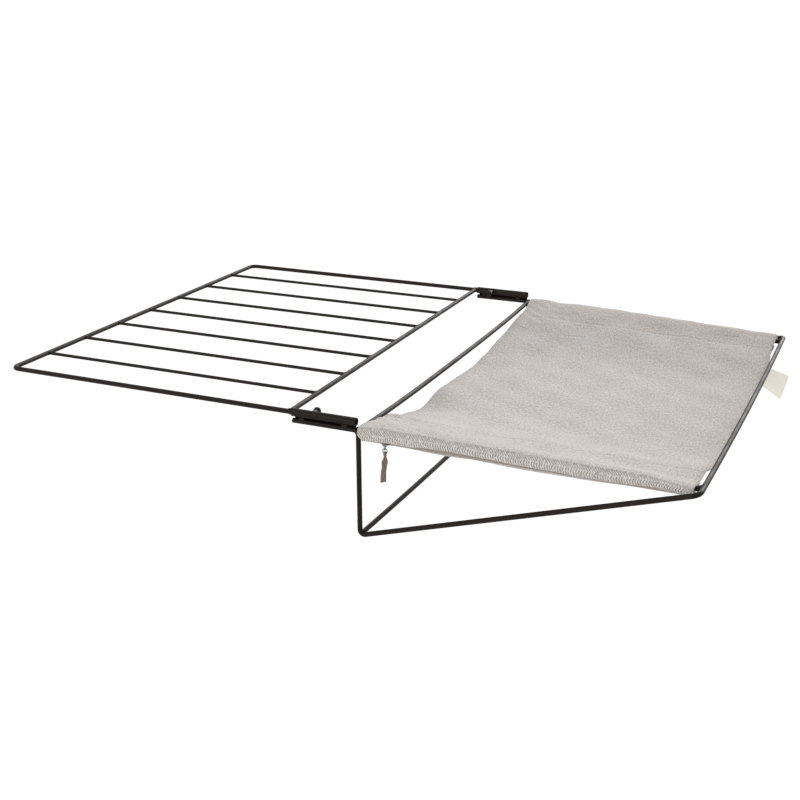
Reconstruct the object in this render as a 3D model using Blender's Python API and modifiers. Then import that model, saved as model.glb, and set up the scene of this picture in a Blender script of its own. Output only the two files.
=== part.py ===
"""Radiator cat bed: a cloth hammock in a wire frame, with a ladder rack that slides in two brackets.

X runs from the sill out over the hammock, Y along the sill, Z up, in metres.
The origin is the middle of the sill's front top edge: the lower rods lie on the plane Z = 0 and the
legs hang down the plane X = 0.
"""
import math

import bmesh
import bpy
from mathutils import Matrix, Vector

# Round wires and the gap that touching pieces keep.
WIRE_DIAMETER = 0.0050
CROSS_WIRE_DIAMETER = 0.0035
SEAT_GAP = 0.0003
ROD_END_GAP = 0.0004
CUT_OVERRUN = 0.0020

# Hammock frame, measured between wire axes.
FRAME_WIDTH = 0.5000
ARM_LENGTH = 0.0700
LEG_DROP = 0.1090
HAMMOCK_REACH = 0.3200
OUTER_RAIL_DROP = 0.0093
OUTER_RAIL_BOW = 0.0021
TOP_BEND_RADIUS = 0.0050
BOTTOM_BEND_RADIUS = 0.0045
CORNER_BEND_RADIUS = 0.0070

RAIL_BOW_SHARES = (-0.75, -0.5, -0.25, 0.0, 0.25, 0.5, 0.75)

# The cross rails between the legs: the top one sags, the bottom one bows outward.
TOP_RAIL_SAG = 0.0042
BOTTOM_RAIL_BOW = 0.0031
CROSS_RAIL_SHARES = (-1.0, -0.88, -0.7, -0.45, -0.2, 0.0, 0.2, 0.45, 0.7, 0.88, 1.0)

# Side rods inside the sleeves.
SIDE_ROD_OUTER_INSET = 0.0170
SIDE_ROD_OUTER_DROP = 0.0110

# Ladder rack.
LADDER_REACH = 0.4105
LADDER_BEND_RADIUS = 0.0080
CROSS_ROD_PITCH = 0.0640
CROSS_ROD_COUNT = 7

# Brackets: a tube over each lower rod, a web with two weld lugs, a screw boss and a thumb screw.
TUBE_DIAMETER = 0.0080
TUBE_BORE = 0.0060
TUBE_LENGTH = 0.0688
TUBE_SETBACK = 0.0015
TUBE_LIFT = 0.0018
WIRE_END_INSET = 0.0025
WEB_WIDTH = 0.0020
LUG_LENGTH = 0.0075
LUG_WIDTH = 0.0044
LEFT_LUG_INSET = 0.0103
RIGHT_LUG_INSET = 0.0124
SCREW_INSET = 0.0208
SCREW_DIAMETER = 0.0030
SCREW_CLEARANCE = 0.0003
BOSS_DIAMETER = 0.0058
BOSS_REACH = 0.0090
KNOB_DIAMETER = 0.0080
KNOB_THICKNESS = 0.0035
KNOB_STANDOFF = 0.0012
KNOB_FLUTE_DEPTH = 0.0005
KNOB_FLUTES = 10

# Cloth panel and its sleeves.
CLOTH_THICKNESS = 0.0012
CLOTH_SETBACK = 0.0005
CLOTH_LAP = 0.0020
CLOTH_LENGTH = 0.3100
SLEEVE_TOP_LEFT = 0.0041
SLEEVE_TOP_RISE = 0.0068
SLEEVE_PUFF_LENGTH = 0.0300
SLEEVE_SHOULDER = 0.0030
SLEEVE_FACE_REACH = 0.0084
SLEEVE_BOTTOM_LEFT_DROP = 0.0096
SLEEVE_BOTTOM_RIGHT_DROP = 0.0170
CLOTH_SAG_LEFT = 0.0233
CLOTH_SAG_RIGHT = 0.0310
SEAM_INSET = 0.0470
FACING_THICKNESS = 0.0010
# How far in from the rod, against how far down, as shares of the way to the middle of the panel.
LEFT_SAG_SHARES = ((0.0, 0.0), (0.04, 0.012), (0.10, 0.107), (0.16, 0.225), (0.225, 0.36),
                   (0.315, 0.585), (0.39, 0.735), (0.46, 0.845), (0.53, 0.93), (0.64, 0.985),
                   (0.80, 1.0), (1.0, 1.0))
RIGHT_SAG_SHARES = ((0.0, 0.0), (0.05, 0.16), (0.11, 0.34), (0.18, 0.42), (0.26, 0.47),
                    (0.36, 0.70), (0.52, 0.91), (0.75, 0.99), (1.0, 1.0))
STATION_SHARES = (0.0, 0.03, 0.07, 0.14, 0.25, 0.40, 0.55, 0.70, 0.85, 1.0)
PANEL_STEPS = 15
PANEL_CROWDING_SHARE = 1.4
LAP_SHARES = (0.0, 0.7, 1.0, 1.0, 0.8)

# Zip along each sleeve's lower outer corner.
ZIP_CHAMFER = 0.0055
ZIP_SLIT = 0.0012
TEETH_DIAMETER = 0.0014
TAPE_THICKNESS = 0.0006
TAPE_REACH = 0.0036
ZIP_START = 0.0080
ZIP_END_INSET = 0.0060
SLIDER_PLACE = 0.0255
SLIDER_LENGTH = 0.0090
SLIDER_WIDTH = 0.0052
SLIDER_PLATE = 0.0009
SLIDER_NECK_LENGTH = 0.0050
BRIDGE_LENGTH = 0.0052
BRIDGE_POST = 0.0010
BRIDGE_WIDTH = 0.0009
BRIDGE_THICKNESS = 0.0008

# Pull: a wire loop, a jump ring and a folded leather strap.
PULL_WIRE_DIAMETER = 0.0009
LOOP_OUTER_REACH = 0.0055
LOOP_INNER_REACH = 0.0025
LOOP_DROP = 0.0080
LOOP_CORNER_RADIUS = 0.0010
LOOP_APEX_RADIUS = 0.0012
RING_DIAMETER = 0.0054
STRAP_WIDTH = 0.0055
STRAP_THICKNESS = 0.0009
STRAP_LENGTH = 0.0295
STRAP_SPLIT = 0.0003
STRAP_NECK_WIDTH = 0.0020
STRAP_NECK_LENGTH = 0.0035
STRAP_STEP = 0.0010

# Woven label at the cloth's outer edge.
LABEL_WIDTH = 0.0410
LABEL_LENGTH = 0.0253
LABEL_REAR_INSET = 0.0920
LABEL_THICKNESS = 0.0008
LABEL_DROP = 0.0065
LABEL_TILT = 0.0070
LABEL_STEPS_ACROSS = 8
LABEL_STEPS_OUT = 5

# Facets of round shapes.
BEND_STEPS = 6
ROUND_SEGMENTS = 24
WIRE_RESOLUTION = 4
FINE_WIRE_RESOLUTION = 2
FLUTE_STEPS = 4
SHOULDER_STEPS = 3
BEAD_STEPS = 8
FACING_STEPS = 6
WELD_DISTANCE = 0.000001
SHARP_ANGLE = math.radians(40)

# Places worked out from the sizes above.
WIRE_RADIUS = WIRE_DIAMETER / 2
LEG_X = WIRE_RADIUS
ARM_Z = WIRE_RADIUS
HALF_WIDTH = FRAME_WIDTH / 2
OUTER_RAIL_X = LEG_X + HAMMOCK_REACH
OUTER_RAIL_Z = ARM_Z - OUTER_RAIL_DROP
TUBE_RIGHT_X = LEG_X - TUBE_SETBACK
TUBE_LEFT_X = TUBE_RIGHT_X - TUBE_LENGTH
TUBE_Z = ARM_Z + WIRE_RADIUS + TUBE_LIFT + TUBE_DIAMETER / 2
LADDER_LEFT_X = LEG_X - LADDER_REACH
STOP_RAIL_X = TUBE_LEFT_X - SEAT_GAP - WIRE_RADIUS
SCREW_X = TUBE_LEFT_X + SCREW_INSET
CLOTH_LEFT_X = LEG_X + WIRE_RADIUS + CLOTH_SETBACK
CLOTH_RIGHT_X = CLOTH_LEFT_X + CLOTH_LENGTH
SIDE_ROD_LEFT = Vector((LEG_X + WIRE_RADIUS + ROD_END_GAP, WIRE_DIAMETER + SEAT_GAP, ARM_Z))
SIDE_ROD_RIGHT = Vector((OUTER_RAIL_X - WIRE_RADIUS - ROD_END_GAP, SIDE_ROD_OUTER_INSET,
                         ARM_Z - SIDE_ROD_OUTER_DROP))
FACE_LEFT = -(WIRE_RADIUS + SEAT_GAP + CLOTH_THICKNESS)
FACE_RIGHT = SIDE_ROD_OUTER_INSET - SLEEVE_FACE_REACH
RING_RADIUS = (RING_DIAMETER - PULL_WIRE_DIAMETER) / 2
SIDES = (("front", -1), ("rear", 1))

for item in list(bpy.data.objects):
    bpy.data.objects.remove(item, do_unlink=True)

parts = bpy.data.collections.new("radiator_cat_bed")
cutters = bpy.data.collections.new("cutters")
bpy.context.scene.collection.children.link(parts)
bpy.context.scene.collection.children.link(cutters)


def make_material(name, colour, roughness, metallic=0.0):
    """A Principled material with one colour."""
    material = bpy.data.materials.new(name)
    material.use_nodes = True
    shader = material.node_tree.nodes["Principled BSDF"]
    shader.inputs["Base Color"].default_value = (*colour, 1.0)
    shader.inputs["Roughness"].default_value = roughness
    shader.inputs["Metallic"].default_value = metallic
    return material


PAINT = make_material("black_paint", (0.020, 0.017, 0.014), 0.35)
TWEED = make_material("grey_beige_tweed", (0.56, 0.53, 0.50), 0.95)
TAPE = make_material("taupe_zip_tape", (0.16, 0.12, 0.09), 0.85)
PULL_METAL = make_material("dark_metal", (0.06, 0.055, 0.05), 0.35, 0.9)
LEATHER = make_material("taupe_leather", (0.14, 0.10, 0.075), 0.60)
LABEL_CLOTH = make_material("cream_label", (0.82, 0.77, 0.64), 0.90)


def link(item, material, collection=parts):
    """Put a finished object in a collection, with its material."""
    item.data.materials.append(material)
    collection.objects.link(item)
    return item


def smooth(mesh):
    """Shade a round mesh smooth, with its sharp edges kept."""
    mesh.shade_smooth()
    mesh.set_sharp_from_angle(angle=SHARP_ANGLE)


def side_point(side, x, inward, z):
    """A point by its distance inward from the front or rear side plane."""
    return Vector((x, side * (HALF_WIDTH - inward), z))


def arc_points(corner, before, after, radius):
    """Points of the round bend that replaces a corner between two straight runs."""
    towards = (before - corner).normalized()
    onwards = (after - corner).normalized()
    half_angle = towards.angle(onwards) / 2
    centre = corner + (towards + onwards).normalized() * (radius / math.sin(half_angle))
    start = corner + towards * (radius / math.tan(half_angle)) - centre
    end = corner + onwards * (radius / math.tan(half_angle)) - centre
    sweep = start.angle(end)
    points = []
    for step in range(BEND_STEPS + 1):
        share = step / BEND_STEPS
        weight_start = math.sin((1 - share) * sweep) / math.sin(sweep)
        weight_end = math.sin(share * sweep) / math.sin(sweep)
        points.append(centre + start * weight_start + end * weight_end)
    return points


def bent_path(corners, radii):
    """An open path through its corners, each inner corner rounded by its radius."""
    points = [corners[0]]
    for index, radius in enumerate(radii, start=1):
        points += arc_points(corners[index], corners[index - 1], corners[index + 1], radius)
    return points + [corners[-1]]


def wire(name, points, diameter, material, resolution=WIRE_RESOLUTION, closed=False):
    """A round wire along a path."""
    curve = bpy.data.curves.new(name, "CURVE")
    curve.dimensions = "3D"
    curve.bevel_depth = diameter / 2
    curve.bevel_resolution = resolution
    curve.use_fill_caps = not closed
    spline = curve.splines.new("POLY")
    spline.points.add(len(points) - 1)
    for target, point in zip(spline.points, points):
        target.co = (*point, 1.0)
    spline.use_cyclic_u = closed
    return link(bpy.data.objects.new(name, curve), material)


def extruded(name, outline, depth, material, matrix, collection=parts):
    """A flat outline given a thickness, placed by a matrix."""
    curve = bpy.data.curves.new(name, "CURVE")
    curve.dimensions = "2D"
    curve.fill_mode = "BOTH"
    curve.extrude = depth / 2
    spline = curve.splines.new("POLY")
    spline.points.add(len(outline) - 1)
    for target, (across, up) in zip(spline.points, outline):
        target.co = (across, up, 0.0, 1.0)
    spline.use_cyclic_u = True
    item = bpy.data.objects.new(name, curve)
    item.matrix_world = matrix
    return link(item, material, collection)


def as_mesh(item, collection=parts):
    """Turn a curve object into a mesh object with its caps welded."""
    bpy.context.view_layer.update()
    evaluated = item.evaluated_get(bpy.context.evaluated_depsgraph_get())
    mesh = bpy.data.meshes.new_from_object(evaluated)
    cleaner = bmesh.new()
    cleaner.from_mesh(mesh)
    bmesh.ops.remove_doubles(cleaner, verts=cleaner.verts, dist=WELD_DISTANCE)
    cleaner.to_mesh(mesh)
    cleaner.free()
    name = item.name
    curve = item.data
    matrix = item.matrix_world.copy()
    bpy.data.objects.remove(item, do_unlink=True)
    bpy.data.curves.remove(curve)
    solid = bpy.data.objects.new(name, mesh)
    solid.matrix_world = matrix
    collection.objects.link(solid)
    return solid


def cylinder_mesh(name, radius, length):
    """A closed cylinder along local Z, centred on its own middle."""
    mesh = bpy.data.meshes.new(name)
    builder = bmesh.new()
    bmesh.ops.create_cone(builder, cap_ends=True, segments=ROUND_SEGMENTS, radius1=radius,
                          radius2=radius, depth=length)
    builder.to_mesh(mesh)
    builder.free()
    smooth(mesh)
    return mesh


def box_mesh(name, length, width, height):
    """A closed box centred on its own middle."""
    mesh = bpy.data.meshes.new(name)
    builder = bmesh.new()
    bmesh.ops.create_cube(builder, size=1.0)
    bmesh.ops.scale(builder, vec=(length, width, height), verts=builder.verts)
    builder.to_mesh(mesh)
    builder.free()
    return mesh


def as_guide(item):
    """Mark an object as one that only cuts or joins."""
    item.display_type = "WIRE"
    item.hide_render = True
    return item


def cutter(name, mesh, matrix):
    """A guide object made from a mesh."""
    item = bpy.data.objects.new(name, mesh)
    item.matrix_world = matrix
    cutters.objects.link(item)
    return as_guide(item)


def boolean(item, other, operation="DIFFERENCE"):
    """Cut one object with another, or join them."""
    modifier = item.modifiers.new(operation.lower(), "BOOLEAN")
    modifier.operation = operation
    modifier.object = other
    modifier.solver = "EXACT"


def axis_matrix(direction, place):
    """A matrix whose local Z runs along a direction, at a place."""
    return Matrix.Translation(place) @ direction.to_track_quat("Z", "Y").to_matrix().to_4x4()


def columns(first, second, third, place):
    """A matrix from three unit columns and a place."""
    matrix = Matrix((first, second, third)).transposed().to_4x4()
    matrix.translation = place
    return matrix


def pivot_empty(name, matrix, parent=None):
    """An empty on a joint's axis."""
    empty = bpy.data.objects.new(name, None)
    empty.empty_display_size = KNOB_DIAMETER
    parts.objects.link(empty)
    empty.matrix_world = matrix
    if parent:
        attach(empty, parent)
    return empty


def attach(item, parent):
    """Parent an object and keep its place."""
    bpy.context.view_layer.update()
    item.parent = parent
    item.matrix_parent_inverse = parent.matrix_world.inverted()


def turned(name, profile, material, matrix):
    """A closed profile of (radius, height) pairs turned round local Z."""
    mesh = bpy.data.meshes.new(name)
    vertices = [(radius, 0.0, height) for radius, height in profile]
    edges = [(index, (index + 1) % len(profile)) for index in range(len(profile))]
    mesh.from_pydata(vertices, edges, [])
    item = bpy.data.objects.new(name, mesh)
    item.matrix_world = matrix
    screw = item.modifiers.new("turn", "SCREW")
    screw.steps = ROUND_SEGMENTS
    screw.render_steps = ROUND_SEGMENTS
    screw.use_merge_vertices = True
    screw.merge_threshold = WELD_DISTANCE
    screw.use_smooth_shade = True
    return link(item, material)


# Hammock frame: one wire from the front lower rod round to the rear one.
def frame_corners(side):
    """The corners of one side of the frame wire, from the lower rod to the outer rail."""
    return [
        side_point(side, LEG_X - ARM_LENGTH, 0.0, ARM_Z),
        side_point(side, LEG_X, 0.0, ARM_Z),
        side_point(side, LEG_X, 0.0, ARM_Z - LEG_DROP),
        side_point(side, OUTER_RAIL_X, 0.0, OUTER_RAIL_Z),
    ]


def outer_rail_x(y):
    """The outer rail's axis bows outward between its corners."""
    share = y / HALF_WIDTH
    return OUTER_RAIL_X + OUTER_RAIL_BOW * (1 - share * share)


bow_points = [Vector((outer_rail_x(share * HALF_WIDTH), share * HALF_WIDTH, OUTER_RAIL_Z))
              for share in RAIL_BOW_SHARES]
front_corners = frame_corners(-1)
rear_corners = frame_corners(1)[::-1]
front_half = bent_path(front_corners + bow_points[:1],
                       (TOP_BEND_RADIUS, BOTTOM_BEND_RADIUS, CORNER_BEND_RADIUS))
rear_half = bent_path(bow_points[-1:] + rear_corners,
                      (CORNER_BEND_RADIUS, BOTTOM_BEND_RADIUS, TOP_BEND_RADIUS))
wire("frame_wire", front_half + bow_points[1:-1] + rear_half, WIRE_DIAMETER, PAINT)

rail_half = HALF_WIDTH - WIRE_RADIUS - SEAT_GAP
top_rail_path = [Vector((LEG_X, share * rail_half, ARM_Z - TOP_RAIL_SAG * (1 - abs(share ** 3))))
                 for share in CROSS_RAIL_SHARES]
wire("top_cross_rail", top_rail_path, WIRE_DIAMETER, PAINT)
bend_corner = front_corners[2]
bend_middle = arc_points(bend_corner, front_corners[1], front_corners[3],
                         BOTTOM_BEND_RADIUS)[BEND_STEPS // 2]
bottom_rail_path = [Vector((bend_middle.x + BOTTOM_RAIL_BOW * (1 - share * share), share * rail_half,
                            bend_middle.z)) for share in CROSS_RAIL_SHARES]
wire("bottom_cross_rail", bottom_rail_path, WIRE_DIAMETER, PAINT)

for side_name, side in SIDES:
    wire(f"{side_name}_side_rod", [side_point(side, *SIDE_ROD_LEFT), side_point(side, *SIDE_ROD_RIGHT)],
         WIRE_DIAMETER, PAINT)

# Ladder rack: a U-bent wire, the stop rail and the thin cross rods.
wire_end_x = TUBE_RIGHT_X - WIRE_END_INSET
ladder_corners = [
    side_point(-1, wire_end_x, 0.0, TUBE_Z),
    side_point(-1, LADDER_LEFT_X, 0.0, TUBE_Z),
    side_point(1, LADDER_LEFT_X, 0.0, TUBE_Z),
    side_point(1, wire_end_x, 0.0, TUBE_Z),
]
ladder = pivot_empty("ladder_slide", Matrix.Translation((TUBE_LEFT_X, 0.0, TUBE_Z)))
attach(wire("ladder_wire", bent_path(ladder_corners, (LADDER_BEND_RADIUS, LADDER_BEND_RADIUS)),
            WIRE_DIAMETER, PAINT), ladder)
attach(wire("ladder_stop_rail", [Vector((STOP_RAIL_X, -rail_half, TUBE_Z)),
                                 Vector((STOP_RAIL_X, rail_half, TUBE_Z))], WIRE_DIAMETER, PAINT), ladder)
for index in range(CROSS_ROD_COUNT):
    y = (index - (CROSS_ROD_COUNT - 1) / 2) * CROSS_ROD_PITCH
    cross_rod = wire(f"ladder_cross_rod_{index + 1}",
                     [Vector((LADDER_LEFT_X + WIRE_RADIUS + SEAT_GAP, y, TUBE_Z)),
                      Vector((STOP_RAIL_X - WIRE_RADIUS - SEAT_GAP, y, TUBE_Z))],
                     CROSS_WIRE_DIAMETER, PAINT)
    attach(cross_rod, ladder)


# Brackets.
def make_bracket(side_name, side):
    """A tube on a web above the lower rod, with its screw boss and thumb screw."""
    inward = Vector((0.0, -side, 0.0))
    along = Vector((1.0, 0.0, 0.0))
    screw_seat = side_point(side, SCREW_X, 0.0, TUBE_Z)
    bore_length = BOSS_REACH + CUT_OVERRUN
    bore = cutter(f"{side_name}_screw_bore",
                  cylinder_mesh("screw_bore", SCREW_DIAMETER / 2 + SCREW_CLEARANCE, bore_length),
                  axis_matrix(inward, screw_seat + inward * (bore_length / 2)))
    tube_middle = side_point(side, TUBE_LEFT_X + TUBE_LENGTH / 2, 0.0, TUBE_Z)
    tube = turned(f"{side_name}_tube", tube_profile(), PAINT, axis_matrix(along, tube_middle))
    boolean(tube, bore)
    around_tube = cutter(f"{side_name}_around_tube",
                         cylinder_mesh("around_tube", TUBE_DIAMETER / 2 + SEAT_GAP,
                                       TUBE_LENGTH + CUT_OVERRUN),
                         axis_matrix(along, tube_middle))
    rod_middle = side_point(side, LEG_X - ARM_LENGTH / 2, 0.0, ARM_Z)
    around_rod = cutter(f"{side_name}_around_rod",
                        cylinder_mesh("around_rod", WIRE_RADIUS + SEAT_GAP,
                                      ARM_LENGTH + CUT_OVERRUN),
                        axis_matrix(along, rod_middle))
    web_z = (TUBE_Z + ARM_Z) / 2
    web = bpy.data.objects.new(f"{side_name}_bracket_web",
                               box_mesh("bracket_web", TUBE_LENGTH, WEB_WIDTH, TUBE_Z - ARM_Z))
    web.location = side_point(side, TUBE_LEFT_X + TUBE_LENGTH / 2, 0.0, web_z)
    link(web, PAINT)
    for x in (TUBE_LEFT_X + LEFT_LUG_INSET, TUBE_RIGHT_X - RIGHT_LUG_INSET):
        lug = cutter(f"{side_name}_lug", box_mesh("lug", LUG_LENGTH, LUG_WIDTH, TUBE_Z - ARM_Z),
                     Matrix.Translation(side_point(side, x, 0.0, web_z)))
        boolean(web, lug, "UNION")
    boolean(web, around_tube)
    boolean(web, around_rod)
    boss = bpy.data.objects.new(f"{side_name}_screw_boss",
                                cylinder_mesh("screw_boss", BOSS_DIAMETER / 2, BOSS_REACH))
    boss.matrix_world = axis_matrix(inward, screw_seat + inward * (BOSS_REACH / 2))
    link(boss, PAINT)
    boolean(boss, around_tube)
    boolean(boss, bore)
    make_thumb_screw(side_name, inward, screw_seat)


def tube_profile():
    """Half the section of the bracket tube, down its outer side and up its bore."""
    outer = TUBE_DIAMETER / 2
    inner = TUBE_BORE / 2
    half = TUBE_LENGTH / 2
    return [(outer, half), (outer, -half), (inner, -half), (inner, half)]


def make_thumb_screw(side_name, inward, screw_seat):
    """A plain shank whose tip meets the ladder wire, with a fluted knob."""
    tip = WIRE_RADIUS + SEAT_GAP
    knob_start = BOSS_REACH + KNOB_STANDOFF
    outline = []
    steps = KNOB_FLUTES * FLUTE_STEPS
    for step in range(steps):
        angle = math.tau * step / steps
        radius = KNOB_DIAMETER / 2 - KNOB_FLUTE_DEPTH * (1 - math.cos(KNOB_FLUTES * angle)) / 2
        outline.append((radius * math.cos(angle), radius * math.sin(angle)))
    screw = as_mesh(extruded(f"{side_name}_thumb_screw", outline, KNOB_THICKNESS, PAINT,
                             axis_matrix(inward, screw_seat + inward * (knob_start + KNOB_THICKNESS / 2))))
    shank_length = knob_start + KNOB_THICKNESS / 2 - tip
    shank = cutter(f"{side_name}_screw_shank",
                   cylinder_mesh("screw_shank", SCREW_DIAMETER / 2, shank_length),
                   axis_matrix(inward, screw_seat + inward * (tip + shank_length / 2)))
    boolean(screw, shank, "UNION")


for side_name, side in SIDES:
    make_bracket(side_name, side)


# Cloth: every place on it is worked out from a station along X and a step across Y.
def mix(left, right, share):
    """A value between its left and right ones."""
    return left + (right - left) * share


def along_share(x):
    """How far a place lies from the cloth's left edge to its right edge."""
    return (x - CLOTH_LEFT_X) / CLOTH_LENGTH


def rod_axis(x):
    """Inward place and height of the side rod at a station."""
    share = (x - SIDE_ROD_LEFT.x) / (SIDE_ROD_RIGHT.x - SIDE_ROD_LEFT.x)
    return mix(SIDE_ROD_LEFT.y, SIDE_ROD_RIGHT.y, share), mix(SIDE_ROD_LEFT.z, SIDE_ROD_RIGHT.z, share)


def sleeve_corner(x):
    """Inward place and height of the sleeve's lower outer corner, before the zip's chamfer."""
    share = along_share(x)
    drop = mix(SLEEVE_BOTTOM_LEFT_DROP, SLEEVE_BOTTOM_RIGHT_DROP, share)
    return mix(FACE_LEFT, FACE_RIGHT, share), ARM_Z - drop


def sleeve_top(x):
    """Height of the sleeve's top: flat on the rod at the left end, puffed out beyond it."""
    puff = min(1.0, (x - CLOTH_LEFT_X) / SLEEVE_PUFF_LENGTH)
    rise = mix(SLEEVE_TOP_LEFT, SLEEVE_TOP_RISE, math.sin(puff * math.pi / 2))
    return rod_axis(x)[1] + rise


def sag_share(table, share):
    """The drop at one inward share, on a smooth curve through the table."""
    for index in range(len(table) - 2, -1, -1):
        if share >= table[index][0]:
            break
    before = table[max(index - 1, 0)]
    start = table[index]
    end = table[index + 1]
    after = table[min(index + 2, len(table) - 1)]
    span = end[0] - start[0]
    local = (share - start[0]) / span
    slope_start = (end[1] - before[1]) / (end[0] - before[0]) * span
    slope_end = (after[1] - start[1]) / (after[0] - start[0]) * span
    square = local * local
    cube = square * local
    return (start[1] * (2 * cube - 3 * square + 1) + slope_start * (cube - 2 * square + local)
            + end[1] * (3 * square - 2 * cube) + slope_end * (cube - square))


def panel_height(x, inward):
    """Height of the cloth's upper side between the rod and the middle."""
    rod_inward = rod_axis(x)[0]
    share = (inward - rod_inward) / (HALF_WIDTH - rod_inward)
    drop_share = mix(sag_share(LEFT_SAG_SHARES, share), sag_share(RIGHT_SAG_SHARES, share), along_share(x))
    lowest = ARM_Z - mix(CLOTH_SAG_LEFT, CLOTH_SAG_RIGHT, along_share(x))
    return mix(sleeve_top(x), lowest, drop_share)


def half_section(x):
    """Outer side of half the cloth's section, from the zip up over the rod to the middle."""
    face, bottom = sleeve_corner(x)
    top = sleeve_top(x)
    rod_inward = rod_axis(x)[0]
    zip_edge = bottom + ZIP_CHAMFER + SEAT_GAP
    shoulder = top - SLEEVE_SHOULDER
    points = [(face, zip_edge), (face, (zip_edge + shoulder) / 2)]
    for step in range(SHOULDER_STEPS + 1):
        angle = step / SHOULDER_STEPS * math.pi / 2
        points.append((face + SLEEVE_SHOULDER * (1 - math.cos(angle)),
                       shoulder + SLEEVE_SHOULDER * math.sin(angle)))
    for step in range(PANEL_STEPS + 1):
        share = step / PANEL_STEPS
        inward = mix(rod_inward, HALF_WIDTH, share ** PANEL_CROWDING_SHARE)
        points.append((inward, panel_height(x, inward)))
    return points


def right_edge_x(y):
    """The cloth's right edge follows the bow of the outer rail."""
    return CLOTH_RIGHT_X + outer_rail_x(y) - OUTER_RAIL_X


def cloth_point(station, step):
    """A corner of the cloth's grid, by its station along X and its step across Y."""
    x = CLOTH_LEFT_X + STATION_SHARES[station] * CLOTH_LENGTH
    half = half_section(x)
    last = len(half) - 1
    side = -1 if step <= last else 1
    from_zip = min(step, 2 * last - step)
    inward, z = half[from_zip]
    y = side * (HALF_WIDTH - inward)
    edge_shift = (right_edge_x(y) - CLOTH_RIGHT_X) * STATION_SHARES[station]
    if station == 0 and from_zip < len(LAP_SHARES):
        edge_shift -= CLOTH_LAP * LAP_SHARES[from_zip]
    return Vector((x + edge_shift, y, z))


def sheet(name, columns_count, rows_count, place, thickness, material):
    """An open grid whose corners are placed by a function, given a thickness below its faces."""
    mesh = bpy.data.meshes.new(name)
    grid = bmesh.new()
    half = 1 / 2
    bmesh.ops.create_grid(grid, x_segments=columns_count, y_segments=rows_count, size=half)
    for vertex in grid.verts:
        column = round((vertex.co.x + half) * columns_count)
        row = round((vertex.co.y + half) * rows_count)
        vertex.co = place(column, row)
    grid.to_mesh(mesh)
    grid.free()
    mesh.shade_smooth()
    item = bpy.data.objects.new(name, mesh)
    solidify = item.modifiers.new("thickness", "SOLIDIFY")
    solidify.thickness = thickness
    solidify.offset = -1.0
    solidify.use_even_offset = True
    return link(item, material)


section_steps = 2 * (len(half_section(CLOTH_LEFT_X)) - 1)
sheet("hammock_cloth", len(STATION_SHARES) - 1, section_steps, cloth_point, CLOTH_THICKNESS, TWEED)


# Facing strips under the side rods, from the zip to the seam.
def make_facing(side_name, side):
    """A strip below the rod that closes the sleeve."""
    def facing_point(station, step):
        x = CLOTH_LEFT_X + STATION_SHARES[station + 1] * CLOTH_LENGTH
        if station == 0:
            x = CLOTH_LEFT_X + CLOTH_SETBACK
        face, bottom = sleeve_corner(x)
        start = face + ZIP_CHAMFER + SEAT_GAP
        inward = mix(start, SEAM_INSET, step / FACING_STEPS)
        under_cloth = panel_height(x, SEAM_INSET) - CLOTH_THICKNESS - SEAT_GAP - FACING_THICKNESS
        return side_point(side, x, inward, mix(bottom, under_cloth, step / FACING_STEPS))

    item = sheet(f"{side_name}_sleeve_facing", len(STATION_SHARES) - 2, FACING_STEPS, facing_point,
                 FACING_THICKNESS, TWEED)
    item.modifiers["thickness"].offset = -side


for side_name, side in SIDES:
    make_facing(side_name, side)


# Zips: each runs in a straight line along its sleeve's lower outer corner.
def zip_centre(side, x):
    """A point on the slit between the two rows of teeth."""
    face, bottom = sleeve_corner(x)
    return side_point(side, x, face + ZIP_CHAMFER / 2, bottom + ZIP_CHAMFER / 2)


def zip_directions(side):
    """Unit directions along the zip, across it and out of the sleeve."""
    along = (zip_centre(side, CLOTH_RIGHT_X) - zip_centre(side, CLOTH_LEFT_X)).normalized()
    across = along.cross(Vector((0.0, side, -1.0))).normalized()
    return along, across, across.cross(along)


def tape_outline(sign):
    """Section of a tape with its row of teeth as one bead, on one side of the slit."""
    bead = TEETH_DIAMETER / 2
    centre = ZIP_SLIT / 2 + bead
    half = TAPE_THICKNESS / 2
    joint_angle = math.asin(half / bead)
    points = [(sign * TAPE_REACH, -half)]
    for step in range(BEAD_STEPS + 1):
        angle = joint_angle + (math.tau - 2 * joint_angle) * step / BEAD_STEPS
        points.append((sign * (centre + bead * math.cos(angle)), -bead * math.sin(angle)))
    points.append((sign * TAPE_REACH, half))
    return points


def bridge_outline():
    """Side view of the bridge that holds the pull loop against the slider."""
    plate = TEETH_DIAMETER / 2 + SEAT_GAP + SLIDER_PLATE
    hole = plate + PULL_WIRE_DIAMETER + 2 * SEAT_GAP
    half = BRIDGE_LENGTH / 2
    inner = half - BRIDGE_POST
    base = plate - SLIDER_PLATE / 2
    right = [(half, hole + BRIDGE_THICKNESS), (half, base), (inner, base), (inner, hole)]
    return right + [(-along, out) for along, out in reversed(right)]


def ribbon_outline(path, thickness):
    """The outline of a flat strip seen from its edge, along a path of (across, up) points."""
    near = []
    far = []
    for index, (across, up) in enumerate(path):
        before = path[max(index - 1, 0)]
        after = path[min(index + 1, len(path) - 1)]
        run = math.hypot(after[0] - before[0], after[1] - before[1])
        normal = (-(after[1] - before[1]) / run, (after[0] - before[0]) / run)
        near.append((across + normal[0] * thickness / 2, up + normal[1] * thickness / 2))
        far.append((across - normal[0] * thickness / 2, up - normal[1] * thickness / 2))
    return near + far[::-1]


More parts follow.
